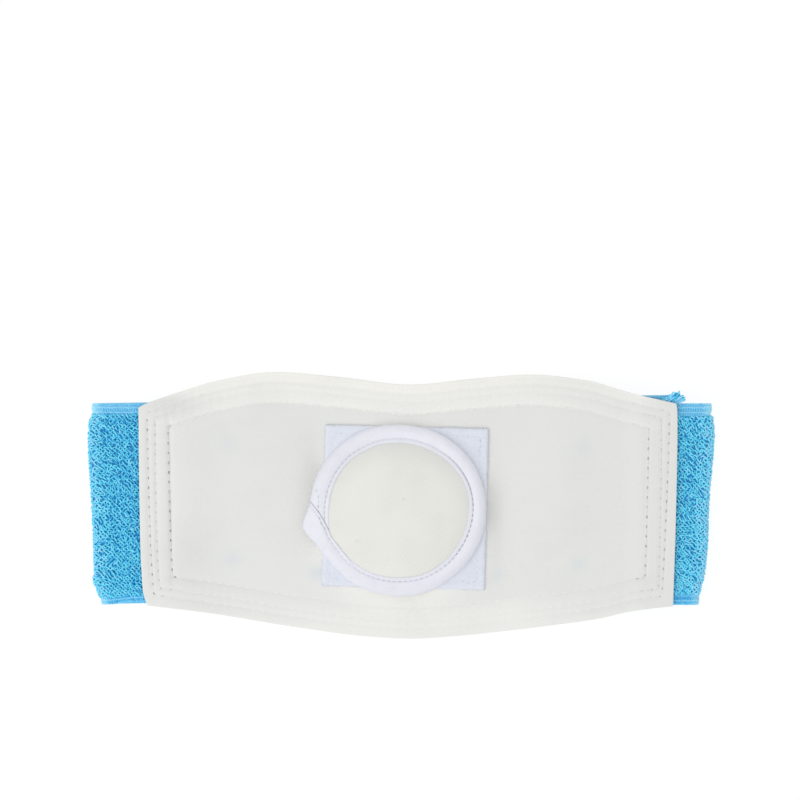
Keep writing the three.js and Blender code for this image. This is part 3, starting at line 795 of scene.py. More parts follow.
def strapLine(strap):
    inward = -math.copysign(1, strap["foldX"])
    wall = strapSize["ground"] + strapSize["pile"]
    turnX = strap["foldX"] + inward * (strap["foldRadius"] + wall / 2)
    firstX = np.linspace(strap["firstEnd"], turnX, int(abs(strap["firstEnd"] - turnX)))
    secondX = np.linspace(turnX, strap["secondEnd"], int(abs(strap["secondEnd"] - turnX)))
    firstZ, secondZ = smoothTable(strap["first"])(firstX), smoothTable(strap["second"])(secondX)
    angle = np.linspace(0, math.pi, 18)[1:-1]
    turnZ = firstZ[-1] + (secondZ[0] - firstZ[-1]) * (1 - np.cos(angle)) / 2
    x = np.concatenate([firstX, turnX - inward * strap["foldRadius"] * np.sin(angle), secondX])
    z = np.concatenate([firstZ, turnZ, secondZ])
    run = np.concatenate([[0], np.cumsum(np.hypot(np.diff(x), np.diff(z)))])
    at = np.linspace(0, run[-1], int(run[-1] / 0.5))
    x, z = np.interp(at, run, x), np.interp(at, run, z)
    tangent = np.stack([np.gradient(x), np.gradient(z)])
    tangent /= np.hypot(*tangent)
    before = np.arange(len(at)) < np.argmax(np.abs(x - inward * 30))
    back = before if strap["backFirst"] else ~before
    return {"run": at, "x": x, "z": z, "tx": tangent[0], "tz": tangent[1], "back": back.astype(float)}


def onStrap(strap, line, run, across, offset):
    def at(key):
        return np.interp(run, line["run"], line[key])
    fromFold = np.abs(at("x") - strap["foldX"])
    drawn = (smoothTable(strap["foldLine"])(across) - strap["foldX"]) * (1 - smoothstep(fromFold, 2, 22))
    shift = math.tan(math.radians(strap["tiltDeg"])) * fromFold * at("back")
    pinched = smoothstep(fromFold, 3, 20) * smoothstep(-across, 10, 40) * (1 - at("back"))
    shift = shift + strap["pinch"] * pinched
    x = at("x") - at("tz") * offset + drawn
    return np.stack([x, strapSize["middleY"] + across + shift, at("z") + at("tx") * offset], -1)


def pileSpots(strap, line, low, high, cell, rng):
    half = strapSize["width"] / 2
    bottom, top = strap["pileLow"] - half, half - strap["pileHigh"]
    reach = int((high - low + 2 * half) / cell)
    a, b = flatGrid(np.arange(-reach, reach), np.arange(-reach, reach))
    # strands lie on a slanted lattice, the dark ground shows in its cells, some cells hold a third strand
    kind = np.repeat([0, 1, 2], a.size)
    a, b = np.concatenate([a + 0.5, a, a + 0.5]), np.concatenate([b, b + 0.5, b + 0.5])
    s = (low + high) / 2 + (a + b) * cell / math.sqrt(2)
    t = (b - a) * cell / math.sqrt(2)
    keep = (s > low) & (s < high) & (t > bottom) & (t < top)
    s, t, kind = s[keep], t[keep], kind[keep]
    # bundles of parallel strands lie in patches
    patchy = ripple(s, t, 8, strap["seed"] + 1) - strap["falling"]
    bundled = smoothstep(np.abs(patchy), 0.15, 0.5)
    crossing = np.where(kind == 0, patchy > 0, patchy < 0)
    # the pile opens up round the fold
    turning = smoothstep(np.abs(np.interp(s, line["run"], line["tz"])), 0.2, 0.5)
    hidden = 0.06 + 0.7 * bundled * crossing * (1 - turning)
    dropped = np.where(kind < 2, hidden, 1 - strap["filled"] - 0.6 * turning)
    keep = rng.uniform(0, 1, s.size) > dropped
    s, t, kind, patchy = s[keep], t[keep], kind[keep], patchy[keep]
    falling = np.where(kind < 2, kind == 0, patchy < 0)
    s, t = s + rng.normal(0, 0.15, s.size) * cell, t + rng.normal(0, 0.15, s.size) * cell
    s, t = np.clip(s, low, high), np.clip(t, bottom, top)
    tx, tz = [np.interp(s, line["run"], line[key]) for key in ("tx", "tz")]
    tangent = np.stack([tx, 0 * s, tz], -1)
    normal = np.stack([-tangent[:, 2], 0 * s, tangent[:, 0]], -1)
    heading = np.where(falling, -1, 1) * math.radians(45) + rng.normal(0, 0.24, s.size)
    heading = heading + 0.45 * ripple(s, t, 14, strap["seed"] + 2)
    along = tangent * np.cos(heading)[:, None] + np.array((0, 1, 0)) * np.sin(heading)[:, None]
    face = strapSize["ground"] - (strapSize["ground"] + strapSize["pile"]) / 2
    lift = np.array([0.1, -0.08, -0.22])[kind] + rng.normal(0, 0.06, s.size)
    fromFold = np.abs(np.interp(s, line["run"], line["x"]) - strap["foldX"])
    tone = np.array([0.52, 0.44, 0.34])[kind] + strap["tone"] + rng.normal(0, 0.15, s.size)
    tone = tone + 0.35 * (1 - smoothstep(fromFold, 1, 8))  # pale along the fold
    return {"place": onStrap(strap, line, s, t, face + lift), "along": along,
            "up": normal + np.cross(normal, along) * rng.normal(0, 0.25, s.size)[:, None],
            "size": rng.uniform(0.88, 1.12, s.size) * np.array([1, 1, 0.8])[kind],
            "tone": np.clip(tone, 0, 1)}


def makeStrap(strap, elastic, terry):
    line = strapLine(strap)
    last = line["run"][-1]
    half, inner = strapSize["width"] / 2, -(strapSize["ground"] + strapSize["pile"]) / 2
    face = inner + strapSize["ground"]
    edgeRows = np.concatenate([[0, 0.12, 0.3], np.arange(0.6, strapSize["selvedge"], 0.3)])
    pileHalf = half - strapSize["pileFrom"]
    across = np.concatenate([-half + edgeRows, np.linspace(-pileHalf, pileHalf, 44), (half - edgeRows)[::-1]])
    runs = np.linspace(0, last, int(last / strapSize["step"]))
    run, side = flatGrid(runs, across)
    if strap["backFirst"]:  # the frayed corner of the free end
        cut = strapSize["frayedCorner"]
        run = run + cut * smoothstep(side, half - cut, half) * (1 - smoothstep(run, 0, 16))
    fromEdge = half - np.abs(side)
    rounding = 0.35 * (1 - np.sqrt(smoothstep(fromEdge, -0.2, 0.9)))
    lines = 0.12 * (hill(fromEdge, 1.95, 0.3) + hill(fromEdge, 3.7, 0.3))
    outer = onStrap(strap, line, run, side, face - rounding + lines)
    innerFace = onStrap(strap, line, run, side, inner + rounding)
    points = np.concatenate([outer, innerFace])
    ribbon = addPiece(strap["name"] + "_elastic", points, slabFaces(len(runs), len(across)), elastic)
    giveSlab(ribbon, "along", run)
    giveSlab(ribbon, "edge", fromEdge, np.minimum(fromEdge, 3))
    alongX = np.interp(run, line["run"], line["x"])
    fold = 0.7 * (1 - smoothstep(np.abs(alongX - strap["foldX"]), 0.5, 6)) + 0.2 * (side > 0)
    fold = fold * (1 - 0.85 * smoothstep(fromEdge, 4.6, 5.2))  # the ground stays dark under the pile
    # painted light where its end peeps out, lifting the panel edge's shade
    fold = np.maximum(fold, 0.38 * smoothstep(alongX, 90, 98) * strap["backFirst"])
    giveSlab(ribbon, "fold", fold)
    dress(ribbon, strap["name"])

    foldRun = line["run"][np.argmax(np.abs(line["x"]) * (np.sign(line["x"]) == np.sign(strap["foldX"])))]
    if strap["backFirst"]:
        backFrom = line["run"][np.argmin(np.abs(line["x"] - strapSize["backPileFrom"]))]
        meet = foldRun - strapSize["roundFold"]
        zones = {"back": (backFrom, meet), "front": (meet, last - strapSize["bareEnd"])}
    else:
        meet = foldRun + strapSize["roundFold"]
        zones = {"front": (strapSize["bareEnd"], meet), "back": (meet, last - 1)}
    rng = np.random.default_rng(strap["seed"])
    for zone, loop in (("front", frontLoop), ("back", backLoop)):
        spots = pileSpots(strap, line, *zones[zone], pileCell[zone], rng)
        growOnPoints(f"{strap['name']}_pile_{zone}", yarnTree, spots, loop, terry)
    if strap["backFirst"]:
        makeFray(terry)
    last * mm
    print(f"{strap['name']} is {last:.0f} mm long when flat")


frayYarn = {"Length": 4.6, "Arch": 0.25, "Root": 0.1, "Radius": 0.3, "Segments": 6, "Sides": 6}
frayPlace = {"from": (103.6, 42.2, 6.8), "to": (110.8, 41.2, 6.8), "count": 100}


def makeFray(terry):
    rng = np.random.default_rng(29)
    u = (np.arange(frayPlace["count"]) + rng.uniform(0, 1, frayPlace["count"])) / frayPlace["count"]
    base = np.array(frayPlace["from"]) * (1 - u)[:, None] + np.array(frayPlace["to"]) * u[:, None]
    base = base + rng.normal(0, (0.3, 0.35, 0.3), base.shape)
    heading = np.radians(np.interp(u, [0, 0.3, 0.7, 1], [20, 42, 52, 26])) + rng.normal(0, 0.1, u.size)
    along = pointing(heading, rng.normal(0.1, 0.12, u.size))
    sizes = rng.uniform(0.8, 1.05, u.size) * np.interp(u, [0, 0.3, 0.65, 1], [0.6, 0.85, 1.2, 0.85])
    place = base + along * (1.2 * sizes)[:, None]
    tone = np.where(rng.uniform(0, 1, u.size) < 0.2, 0.2, rng.uniform(0.8, 1.35, u.size))
    spots = {**spotsAt(place, along, rng, tone), "size": sizes}
    return growOnPoints("strap_left_fray", yarnTree, spots, frayYarn, terry)


# the loop patch

padSize = {"x": -1, "y": -2, "across": 1.014, "up": 0.986, "radius": 34.9, "face": 27.45, "seam": 29.1,
           "faceShift": 0.25}
patchSize = {"x": 1.6, "y": -0.9, "width": 65.2, "height": 64.4, "turnDeg": -1.4, "step": 0.55, "fillet": 0.5,
             "seam": 3.2, "fibres": 1800, "toothInset": 0.45, "toothPitch": 1.35, "stitchPitch": 2.2}
patchFibre = {"Length": 1.2, "Arch": 0.06, "Root": 0.06, "Radius": 0.045, "Segments": 4, "Sides": 3}
patchEdge = {"Length": 1.5, "Arch": 0.15, "Root": 0.1, "Radius": 0.17, "Segments": 5, "Sides": 5}
patchThread = {"Length": 1.5, "Arch": 0.05, "Root": 0.15, "Radius": 0.13, "Segments": 5, "Sides": 5}


def onPatch(x, y, z):
    turn = math.radians(patchSize["turnDeg"])
    return np.stack([patchSize["x"] + x * math.cos(turn) - y * math.sin(turn),
                     patchSize["y"] + x * math.sin(turn) + y * math.cos(turn), z], -1)


def patchRow(inset, pitch):
    square = np.array([(-1, -1), (1, -1), (1, 1), (-1, 1), (-1, -1)])
    mark = evenly(square * (patchSize["width"] / 2 - inset, patchSize["height"] / 2 - inset), pitch)[::2]
    ahead = np.roll(mark, -1, 0) - mark
    ahead = onPatch(ahead[:, 0], ahead[:, 1], 0 * ahead[:, 0]) - onPatch(0.0, 0.0, 0.0)
    return mark, ahead


def sewPatch(high, loopCloth, thread):
    rng = np.random.default_rng(41)
    size = np.array([[patchSize["width"]], [patchSize["height"]]])
    fx, fy = rng.uniform(-0.5, 0.5, (2, patchSize["fibres"])) * size
    place = onPatch(fx, fy, np.full(fx.size, high - 0.05))
    shown = np.hypot(place[:, 0] - padSize["x"], place[:, 1] - padSize["y"]) > padSize["radius"] - 1.5
    place = place[shown]
    heading = rng.uniform(0, 2 * math.pi, len(place))
    along = pointing(heading, rng.normal(0, 0.15, len(place)))
    spots = spotsAt(place, along, rng, 0.2, (0.6, 1.2))
    fuzz = growOnPoints("loop_patch_fuzz", yarnTree, spots, patchFibre, loopCloth)

    # the cut edge shows its loops as small teeth
    mark, ahead = patchRow(patchSize["toothInset"], patchSize["toothPitch"])
    outward = np.stack([ahead[:, 1], -ahead[:, 0], 0 * ahead[:, 0]], -1)
    outward = outward + ahead * rng.normal(0, 0.35, (len(mark), 1))
    place = onPatch(mark[:, 0], mark[:, 1], np.full(len(mark), high - 0.5))
    spots = spotsAt(place, outward, rng, 0.1, (0.7, 1.15))
    teeth = growOnPoints("loop_patch_edge", yarnTree, spots, patchEdge, loopCloth)

    mark, ahead = patchRow(patchSize["seam"], patchSize["stitchPitch"])
    place = onPatch(mark[:, 0], mark[:, 1], np.full(len(mark), high - 0.12))
    tones = rng.uniform(0, 0.8, len(mark))
    spots = spotsAt(place, ahead, rng, tones)
    stitches = growOnPoints("loop_patch_stitches", yarnTree, spots, patchThread, thread)
    return fuzz, teeth, stitches


def makePatch(loopCloth, thread):
    low, high = [corner.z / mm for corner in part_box("loop_patch")]
    wide, tall = patchSize["width"], patchSize["height"]
    columns, rows = int(wide / patchSize["step"]), int(tall / patchSize["step"])
    u, v = flatGrid(np.linspace(-1, 1, columns), np.linspace(-1, 1, rows))
    x, y = u * wide / 2, v * tall / 2
    x, y = x + 0.22 * ripple(y, x, 4, 31) * u ** 6, y + 0.22 * ripple(x, y, 4, 32) * v ** 6
    inset = np.minimum((1 - np.abs(u)) * wide, (1 - np.abs(v)) * tall) / 2
    fluff = 0.02 * ripple(x, y, 1.7, 33, 12) + 0.04 * ripple(x, y, 7, 34)
    top = high - 0.6 * (1 - np.sqrt(smoothstep(inset, -0.1, 1))) + fluff
    top = top - 0.15 * hill(inset, patchSize["seam"], 0.5)
    # the loops stand up against the pad's edge
    px, py = padLocal(onPatch(x, y, top)[:, :2]).T
    beside = np.hypot(px, py) - padSize["radius"] - outerShift(roundPad(px, py))
    against = smoothstep(beside, -1.4, -0.4) * np.exp(-np.maximum(beside, 0) / 1.5)
    top = top + patchSize["fillet"] * against
    points = np.concatenate([onPatch(x, y, top), onPatch(x, y, np.full_like(x, low - 0.2))])
    patch = addPiece("loop_patch_cloth", points, slabFaces(columns, rows), loopCloth)
    # painted light lifts the shade the binding casts on the patch, most of all on its upper side
    lift = against * (0.5 + 0.5 * np.cos(np.arctan2(py, px) - math.radians(85)))
    giveSlab(patch, "lift", lift)
    dress(patch, "loop_patch")

    fuzz, teeth, stitches = sewPatch(high, loopCloth, thread)


# the round pad: hook back, cushion and binding

def padPlace():
    moved = Matrix.Translation((padSize["x"] * mm, (padSize["y"] + padSize["faceShift"]) * mm, 0))
    return moved @ Matrix.Diagonal((padSize["across"], padSize["up"], 1, 1))


def turnedBody(name, profile, segments, finish):
    ring = np.array(profile[1:-1])
    angle = np.arange(segments) * 2 * math.pi / segments
    rings = np.stack([ring[:, :1] * np.cos(angle), ring[:, :1] * np.sin(angle), ring[:, 1:] + 0 * angle], -1)
    points = np.concatenate([rings.reshape(-1, 3), [(0, 0, profile[0][1]), (0, 0, profile[-1][1])]])
    index = np.arange(rings.shape[0] * segments).reshape(-1, segments)
    closed = np.concatenate([index, index[:, :1]], 1)
    faces = gridQuads(closed)[:, ::-1].tolist()
    start, end = len(points) - 2, len(points) - 1
    faces += [(start, closed[0, k + 1], closed[0, k]) for k in range(segments)]
    faces += [(end, closed[-1, k], closed[-1, k + 1]) for k in range(segments)]
    return addPiece(name, points, faces, finish)


cushionSize = {"voxel": 0.9, "pressure": 4, "frames": 20, "cap": 0.45, "tuck": 1.05, "edgeHeight": 9.65,
               "startTop": 0.5, "flangeRadius": 32.2, "lapRise": 0.4, "lapDeg": 222,
               "shade": 0.3, "shadeDeg": 80}
cushionFlecks = [(1, 2.6, 0.3, 1), (-17.4, -14, 0.4, 0.35), (-4.8, -21.6, 0.4, 0.3)]


def makeCushion(twill):
    low, high = [corner.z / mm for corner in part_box("pad_cushion")]
    flange, top = low + 1.3, high - cushionSize["startTop"]
    edge = cushionSize["edgeHeight"]
    radius = padSize["face"] + cushionSize["tuck"]  # the face runs on under the lip of the tape
    climb = np.linspace(0, math.pi / 2, 36)
    dome = [(radius * math.cos(a), edge + (top - edge) * math.sin(a) ** 1.5) for a in climb]
    rim = cushionSize["flangeRadius"]
    profile = [(0, low)] + [(r, low) for r in np.linspace(1.4, rim, 26)] + [(rim, low + 0.65)]
    profile += [(r, flange) for r in np.linspace(rim, radius, 6)] + dome[:-1] + [(0, top)]
    pad = turnedBody("pad_cushion_face", profile, 144, twill)
    points = pointsOf(pad.data) / mm
    r, degrees = np.hypot(points[:, 0], points[:, 1]), roundPad(points[:, 0], points[:, 1])
    shift = lipShift(degrees) * smoothstep(r, 18, 27) * (1 - smoothstep(r, 29, 32))
    points[:, :2] *= (1 + shift / np.maximum(r, 1))[:, None]
    raised = hill(degrees, cushionSize["lapDeg"], 40) * smoothstep(r, 16, 26) * (points[:, 2] > edge - 0.1)
    points[:, 2] += cushionSize["lapRise"] * raised  # level with the tape where its end laps over
    pad.data.vertices.foreach_set("co", (points * mm).ravel())
    pad.data.transform(padPlace())
    swell(pad, flange)
    x, y = (pointsOf(pad.data)[:, :2] / mm).T
    fleck = np.zeros(x.size)
    for fleckX, fleckY, width, amount in cushionFlecks:
        fleck = np.maximum(fleck, amount * hill(np.hypot(x - fleckX, y - fleckY), 0, width))
    giveAttribute(pad, "fleck", fleck)
    # painted shade where the face sinks below the tape, most of all at its upper edge
    px, py = padLocal(np.stack([x, y], -1)).T
    upper = 0.5 + 0.5 * np.cos(np.arctan2(py, px) - math.radians(cushionSize["shadeDeg"]))
    giveAttribute(pad, "soil", cushionSize["shade"] * upper ** 1.5 * smoothstep(np.hypot(px, py), 19, 27.5))
    dress(pad, "pad_cushion")


def swell(pad, flange):
    # the flange is held by the binding, the face fills out under a little pressure
    finish = pad.data.materials[0]
    remesh = pad.modifiers.new("even", "REMESH")
    remesh.mode = "VOXEL"
    remesh.voxel_size = cushionSize["voxel"] * mm
    even = pad.data = bakedMesh(pad)
    if not even.materials:
        even.materials.append(finish)
    before = pointsOf(even)
    reach = np.hypot(*padLocal(before[:, :2] / mm).T)
    held = (before[:, 2] < (flange + 0.3) * mm) | (reach > padSize["face"] - 1.2)
    hold = pad.vertex_groups.new(name="held")
    hold.add(np.nonzero(held)[0].tolist(), 1.0, "REPLACE")
    cloth = pad.modifiers.new("swell", "CLOTH")
    cloth.settings.quality = 6
    cloth.settings.use_pressure = True
    cloth.settings.uniform_pressure_force = cushionSize["pressure"]
    cloth.settings.vertex_group_mass = "held"
    cloth.settings.effector_weights.gravity = 0
    cloth.collision_settings.use_collision = False
    cloth.point_cache.frame_start, cloth.point_cache.frame_end = 1, cushionSize["frames"]
    for frameNumber in range(1, cushionSize["frames"] + 1):
        scene.frame_set(frameNumber)
    moved = pointsOf(bakedMesh(pad)) - before
    scene.frame_set(1)
    far = np.linalg.norm(moved, axis=1)
    after = before + moved * np.minimum(1, cushionSize["cap"] * mm / np.maximum(far, 1e-9))[:, None]
    even.vertices.foreach_set("co", after.astype(np.float32).ravel())
    even.polygons.foreach_set("use_smooth", [True] * len(even.polygons))
    smooth = pad.modifiers.new("soften", "SMOOTH")
    smooth.factor, smooth.iterations = 0.5, 4
    finer = pad.modifiers.new("finer", "SUBSURF")
    finer.levels = finer.render_levels = 1
    pad.data = bakedMesh(pad)
    pad.vertex_groups.clear()
    print(f"pad face filled out by up to {far.max() / mm:.2f} mm before the cap")


bindingSize = {"coarseDeg": 0.75, "fineDeg": 0.28, "fineFrom": 172, "fineTo": 246, "lap": 0.35,
               "tailLength": 4.2, "tailDrop": 1.5, "tailRise": 0.8, "lapDeg": 200, "welt": 1.05,
               "stitches": 85, "hiddenFrom": 188, "hiddenTo": 197}
# radius and height round the tape: under the pad, over its edge to the lip, and back inside
bindingUnder = [(27.9, 0.3), (28.3, 0.0), (30.5, 0.0), (33.4, 0.0), (34.2, 0.2), (34.65, 0.7), (34.85, 1.2)]
bindingOver = [(34.9, 1.7), (34.8, 2.25), (34.55, 2.8), (34.15, 3.4), (33.6, 3.95), (32.9, 4.42),
               (32.2, 4.75), (31.5, 4.92), (30.8, 4.96), (30.2, 4.9), (29.7, 4.78), (29.35, 4.64),
               (29.1, 4.5), (28.85, 4.62), (28.6, 4.74), (28.2, 4.78), (27.9, 4.74), (27.65, 4.6),
               (27.47, 4.4)]
bindingInside = [(27.45, 3.95), (30.5, 3.95), (32.4, 3.75), (33.3, 2.8), (33.8, 1.6), (33.7, 0.75),
                 (31, 0.75), (27.9, 0.75)]
tailCorners = [(-36.1, 1.2), (-39.4, -8.9), (-31.8, -17.2)]
tailCrease = [(-36.3, 1.6), (-32.9, -2.5), (-31, -5.5), (-28.5, -10.3), (-26.9, -13.3), (-24, -17.1)]
# how far the lip and the outer edge stray from a circle, by degrees
lipShift = smoothTable([(172, -0.3), (186, 0), (191, 0.3), (197, 1), (203, 0.8), (212, -0.1), (221, -0.2),
                        (250, -0.2), (270, -0.3), (290, 0.05), (310, -0.1), (328, -0.35), (345, -0.1),
                        (360, 0.25), (378, 0.55), (395, 0.3), (420, -0.3), (450, -0.4), (468, -0.1),
                        (480, -0.3), (490, 0), (505, -0.2), (532, -0.3)])
outerShift = smoothTable([(172, 0), (185, 0.2), (200, 0.4), (208, -0.3), (216, -0.8), (226, -0.8),
                          (236, -0.4), (258, -0.4), (275, 0), (292, -0.1), (306, -0.6), (322, -0.55),
                          (340, -0.4), (360, -0.45), (380, -0.2), (395, 0), (420, 0), (441, -0.35),
                          (452, -0.3), (465, 0), (480, 0.2), (495, 0.2), (515, 0.1), (532, 0)])
bindingThread = {"Length": 1.35, "Arch": 0.05, "Root": 0.12, "Radius": 0.15, "Segments": 5, "Sides": 5}
# the stitches' dark tone is painted shade in the sunk seam, darkest at the right, faint at the top and under
# the lap
seamTone = smoothTable([(0, 0.7), (30, 0.45), (45, 0.25), (60, 0.05), (100, 0.05), (125, 0.2), (145, 0.35),
                        (185, 0.3), (200, 0.1), (240, 0.05), (262, 0.3), (300, 0.3), (315, 0.5),
                        (335, 0.75), (360, 0.7)])
# x, y, heading and tone
lapStitches = [(-33.7, 5.6, -80, 0.15), (-32.9, 3.4, -90, 0.25), (-32.9, 1.5, -90, 0.1),
               (-32.9, -0.3, -90, 0.5), (-32.8, -2.7, -80, 0.7), (-32.4, -5, -68, 0.35),
               (-31.7, -7, -64, 0.5), (-30.5, -8.9, -62, 0.25)]


def curveThrough(points, pieces):
    points = np.array(points, float)
    padded = np.concatenate([points[:1], points, points[-1:]])
    t = np.arange(pieces)[:, None] / pieces
    runs = [0.5 * (2 * b + (c - a) * t + (2 * a - 5 * b + 4 * c - d) * t ** 2
                   + (3 * b - a - 3 * c + d) * t ** 3)
            for a, b, c, d in zip(padded, padded[1:], padded[2:], padded[3:])]
    return np.concatenate(runs + [points[-1:]])


def padLocal(points):
    return (np.asarray(points, float) - (padSize["x"], padSize["y"])) / (padSize["across"], padSize["up"])


def roundPad(x, y):
    return (np.degrees(np.arctan2(y, x)) - bindingSize["fineFrom"]) % 360 + bindingSize["fineFrom"]


def tailReach(angle):
    corners = padLocal(tailCorners)
    ray = np.stack([np.cos(angle), np.sin(angle)], -1)
    reach = np.full(angle.shape, padSize["radius"])
    for start, end in zip(corners[:-1], corners[1:]):
        edge = end - start
        distance = (start[0] * edge[1] - start[1] * edge[0]) / (ray[:, 0] * edge[1] - ray[:, 1] * edge[0])
        low, high = sorted(math.atan2(p[1], p[0]) % (2 * math.pi) for p in (start, end))
        reach = np.where((angle >= low) & (angle <= high), np.maximum(reach, distance), reach)
    return reach


def creaseSide(x, y):
    # signed distance from the crease, positive on the side of the lapped tail
    points = np.array(tailCrease)
    best, side = np.full(x.shape, 1e9), np.zeros(x.shape)
    for start, end in zip(points[:-1], points[1:]):
        edge = end - start
        t = np.clip(((x - start[0]) * edge[0] + (y - start[1]) * edge[1]) / (edge @ edge), 0, 1)
        away = np.hypot(x - start[0] - t * edge[0], y - start[1] - t * edge[1])
        turn = np.sign((x - start[0]) * edge[1] - (y - start[1]) * edge[0])
        side = np.where(away < best, turn * away, side)
        best = np.minimum(best, away)
    return side


def bindingShade(radius, angle, crease, nearLap, top):
    degrees = np.degrees(angle)
    # painted shade in the seam, strongest at the right, and painted shadow along the crease and the welt
    seamLine = hill(radius, padSize["seam"], 0.3) * top * (0.1 + 0.5 * hill(degrees % 360, 25, 22))
    foldLine = hill(crease, -0.16, 0.16) + 0.35 * hill(crease, bindingSize["welt"], 0.2)
    foldLine = foldLine * (1 - 0.85 * smoothstep(degrees, 196, 212))
    soil = seamLine * (1 - nearLap * (crease > -1)) + 0.75 * foldLine * nearLap
    # painted light at the upper edge, painted shade at the upper left and along the lip
    soil = soil + 0.1 - 0.075 * np.cos(angle - math.radians(75)) * smoothstep(radius, 29.5, 32.5)
    onLip = 1 - smoothstep(radius, 28.4, 29.1)
    soil = soil + 0.08 * hill(degrees, 500, 32) + 0.1 * onLip * (0.5 + 0.5 * np.cos(angle - math.radians(10)))
    return soil


def sewBinding(surface, thread):
    rng = np.random.default_rng(61)
    at = np.arange(bindingSize["stitches"]) * 2 * math.pi / bindingSize["stitches"]
    # some lie under the lapped end
    hidden = (np.degrees(at) > bindingSize["hiddenFrom"]) & (np.degrees(at) < bindingSize["hiddenTo"])
    at = at[~hidden]
    seam = padSize["seam"] + 0.7 * lipShift(roundPad(np.cos(at), np.sin(at)))
    mark = np.stack([padSize["x"] + padSize["across"] * seam * np.cos(at),
                     padSize["y"] + padSize["up"] * seam * np.sin(at) + padSize["faceShift"]], -1)
    lapX, lapY, lapTurn, lapTone = np.array(lapStitches).T
    mark = np.concatenate([mark, np.stack([lapX, lapY], -1)])
    along = pointing(np.concatenate([at + math.pi / 2, np.radians(lapTurn)]))
    tone = np.concatenate([seamTone(np.degrees(at)) * rng.uniform(0.75, 1.1, at.size), lapTone])
    tree = flatTree(surface)
    height = [surface[tree.find((px, py, 0))[1], 2] for px, py in mark]
    place = np.concatenate([mark, np.array(height)[:, None] + 0.04], 1)
    spots = spotsAt(place, along, rng, tone)
    return growOnPoints("pad_binding_stitches", yarnTree, spots, bindingThread, thread)


def makeBinding(tape, thread):
    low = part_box("pad_binding")[0].z / mm
    profile = np.concatenate([bindingUnder, curveThrough(bindingOver, 3), bindingInside])
    fine = np.arange(bindingSize["fineFrom"], bindingSize["fineTo"], bindingSize["fineDeg"])
    coarse = np.arange(bindingSize["fineTo"], bindingSize["fineFrom"] + 360, bindingSize["coarseDeg"])
    angle = np.radians(np.concatenate([fine, coarse]))
    tail = (tailReach(angle) - padSize["radius"])[:, None]
    r, z = [np.broadcast_to(column, (angle.size, len(profile))) for column in profile.T]
    turn, degrees = angle[:, None], np.degrees(angle)[:, None]
    order = np.arange(len(profile))
    top = (order >= len(bindingUnder)) & (order < len(profile) - len(bindingInside))
    tailShare = tail * smoothstep(r, 31, padSize["radius"])
    upperSide = smoothstep(z, 1.6, 3.2)
    outerWall = smoothstep(r, 33.2, 34.6)
    wave = 0.06 * ripple(35 * np.cos(turn), 35 * np.sin(turn), 9, 51) * (z > 4)
    lowered = bindingSize["tailDrop"] * upperSide - bindingSize["tailRise"] * (1 - upperSide) * outerWall
    z = z + wave - lowered * tailShare / bindingSize["tailLength"]
    atLip, atEdge = 1 - smoothstep(r, padSize["face"], 32), smoothstep(r, 30.5, 34)
    r = r + tailShare + lipShift(degrees) * atLip + outerShift(degrees) * atEdge
    x = padSize["x"] + padSize["across"] * r * np.cos(turn)
    y = padSize["y"] + padSize["up"] * r * np.sin(turn) + padSize["faceShift"] * (1 - smoothstep(r, 29.5, 33))
    # the tape's end laps over its beginning along the crease, with a welt beside the fold
    crease = creaseSide(x, y)
    nearLap = (1 - smoothstep(np.abs(degrees - bindingSize["lapDeg"]), 22, 42)) * top
    lapped = bindingSize["lap"] * smoothstep(crease, -0.12, 0.12)
    lapped = lapped - 0.16 * hill(crease, bindingSize["welt"], 0.3)
    z = low + z + lapped * nearLap
    points = np.stack([x, y, z], -1).reshape(-1, 3)
    index = np.arange(len(points)).reshape(r.shape)
    index = np.concatenate([index, index[:1]])
    faces = gridQuads(np.concatenate([index, index[:, :1]], 1)).tolist()
    ring = addPiece("pad_binding_tape", points, faces, tape)
    cloth = np.stack([np.broadcast_to(turn * 31, r.shape), r, r * 0], -1).reshape(-1, 3)
    giveAttribute(ring, "cloth", cloth, "FLOAT_VECTOR")
    giveAttribute(ring, "soil", bindingShade(profile[:, 0], turn, crease, nearLap, top).ravel())
    dress(ring, "pad_binding")
    surface = np.stack([x[:, top], y[:, top], z[:, top]], -1).reshape(-1, 3)
    stitches = sewBinding(surface, thread)


# hook cloth: the pad's back and the hidden tab between the strap ends

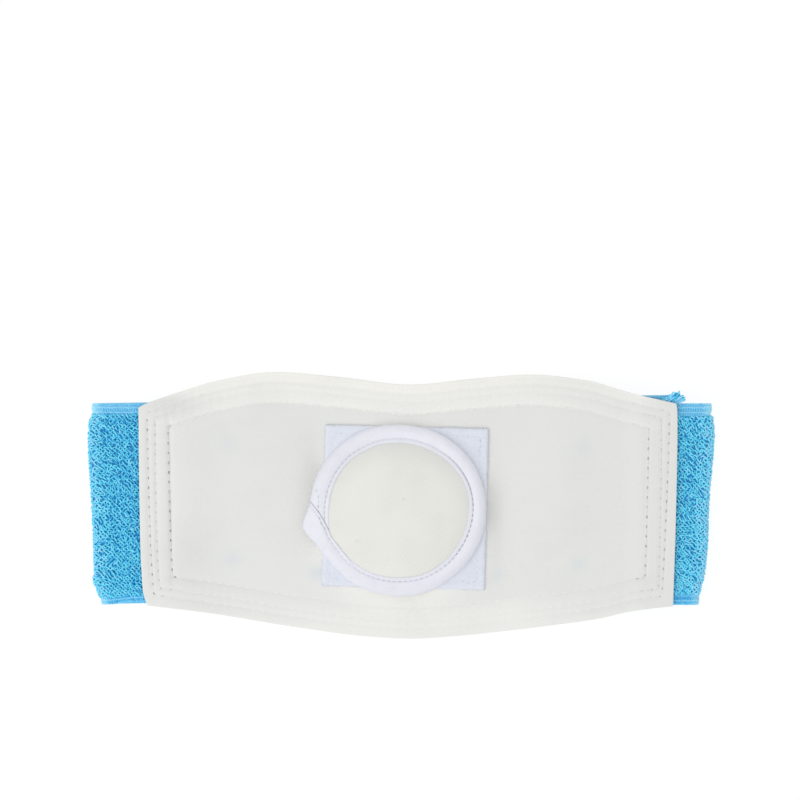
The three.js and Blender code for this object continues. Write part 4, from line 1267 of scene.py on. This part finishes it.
def makeHookPieces(blueHooks, whiteHooks):
    low, high = [corner.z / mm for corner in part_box("pad_hook_back")]
    profile = [(0, low)] + [(r, low + 0.04 * math.sin(r * 2)) for r in np.linspace(1, 25, 24)]
    profile += [(26.9, low + 1.05), (33.4, low + 1.05), (33.4, high)]
    profile += [(r, high) for r in np.linspace(30, 2, 12)] + [(0, high)]
    back = turnedBody("pad_hook_cloth", profile, 96, whiteHooks)
    back.data.transform(padPlace())
    dress(back, "pad_hook_back")

    corners = [[value / mm for value in corner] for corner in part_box("hook_tab")]
    (lowX, lowY, lowZ), (highX, highY, highZ) = corners
    columns, rows = 40, 90
    x, y = flatGrid(np.linspace(lowX, highX, columns), np.linspace(lowY, highY, rows))
    inset = np.minimum.reduce([x - lowX, highX - x, y - lowY, highY - y])
    top = highZ - 0.25 * (1 - smoothstep(inset, 0, 1)) - 0.12 * hill(inset, 2, 0.5)
    points = np.concatenate([np.stack([x, y, top], -1), np.stack([x, y, 0 * x + lowZ], -1)])
    tab = addPiece("hook_tab_cloth", points, slabFaces(columns, rows), blueHooks)
    dress(tab, "hook_tab")


makeStage()
yarnTree, holeTree = makeYarnTree(), makeHoleTree()
whiteThread = threadFinish("whiteThread", srgb(243, 242, 237), srgb(190, 194, 200))
# the binding thread's dark tone is painted shade
shadedThread = threadFinish("shadedThread", srgb(226, 227, 235), srgb(128, 126, 132))
# the needle holes' dark colour is painted shade
holeDark = threadFinish("needleHole", srgb(226, 227, 224), srgb(78, 88, 98))
makePanel(cottonFinish(), whiteThread, holeDark)
elastic, terry = elasticFinish(), terryFinish()
for strap in (leftStrap, rightStrap):
    makeStrap(strap, elastic, terry)
makePatch(loopFinish(), threadFinish("blueWhiteThread", srgb(228, 232, 242), srgb(178, 184, 202)))
makeCushion(twillFinish())
makeBinding(tapeFinish(), shadedThread)
makeHookPieces(hookFinish("blueHooks", srgb(70, 150, 200), srgb(40, 110, 165), 1.6),
               hookFinish("whiteHooks", srgb(222, 222, 216), srgb(190, 190, 182), 1.4))
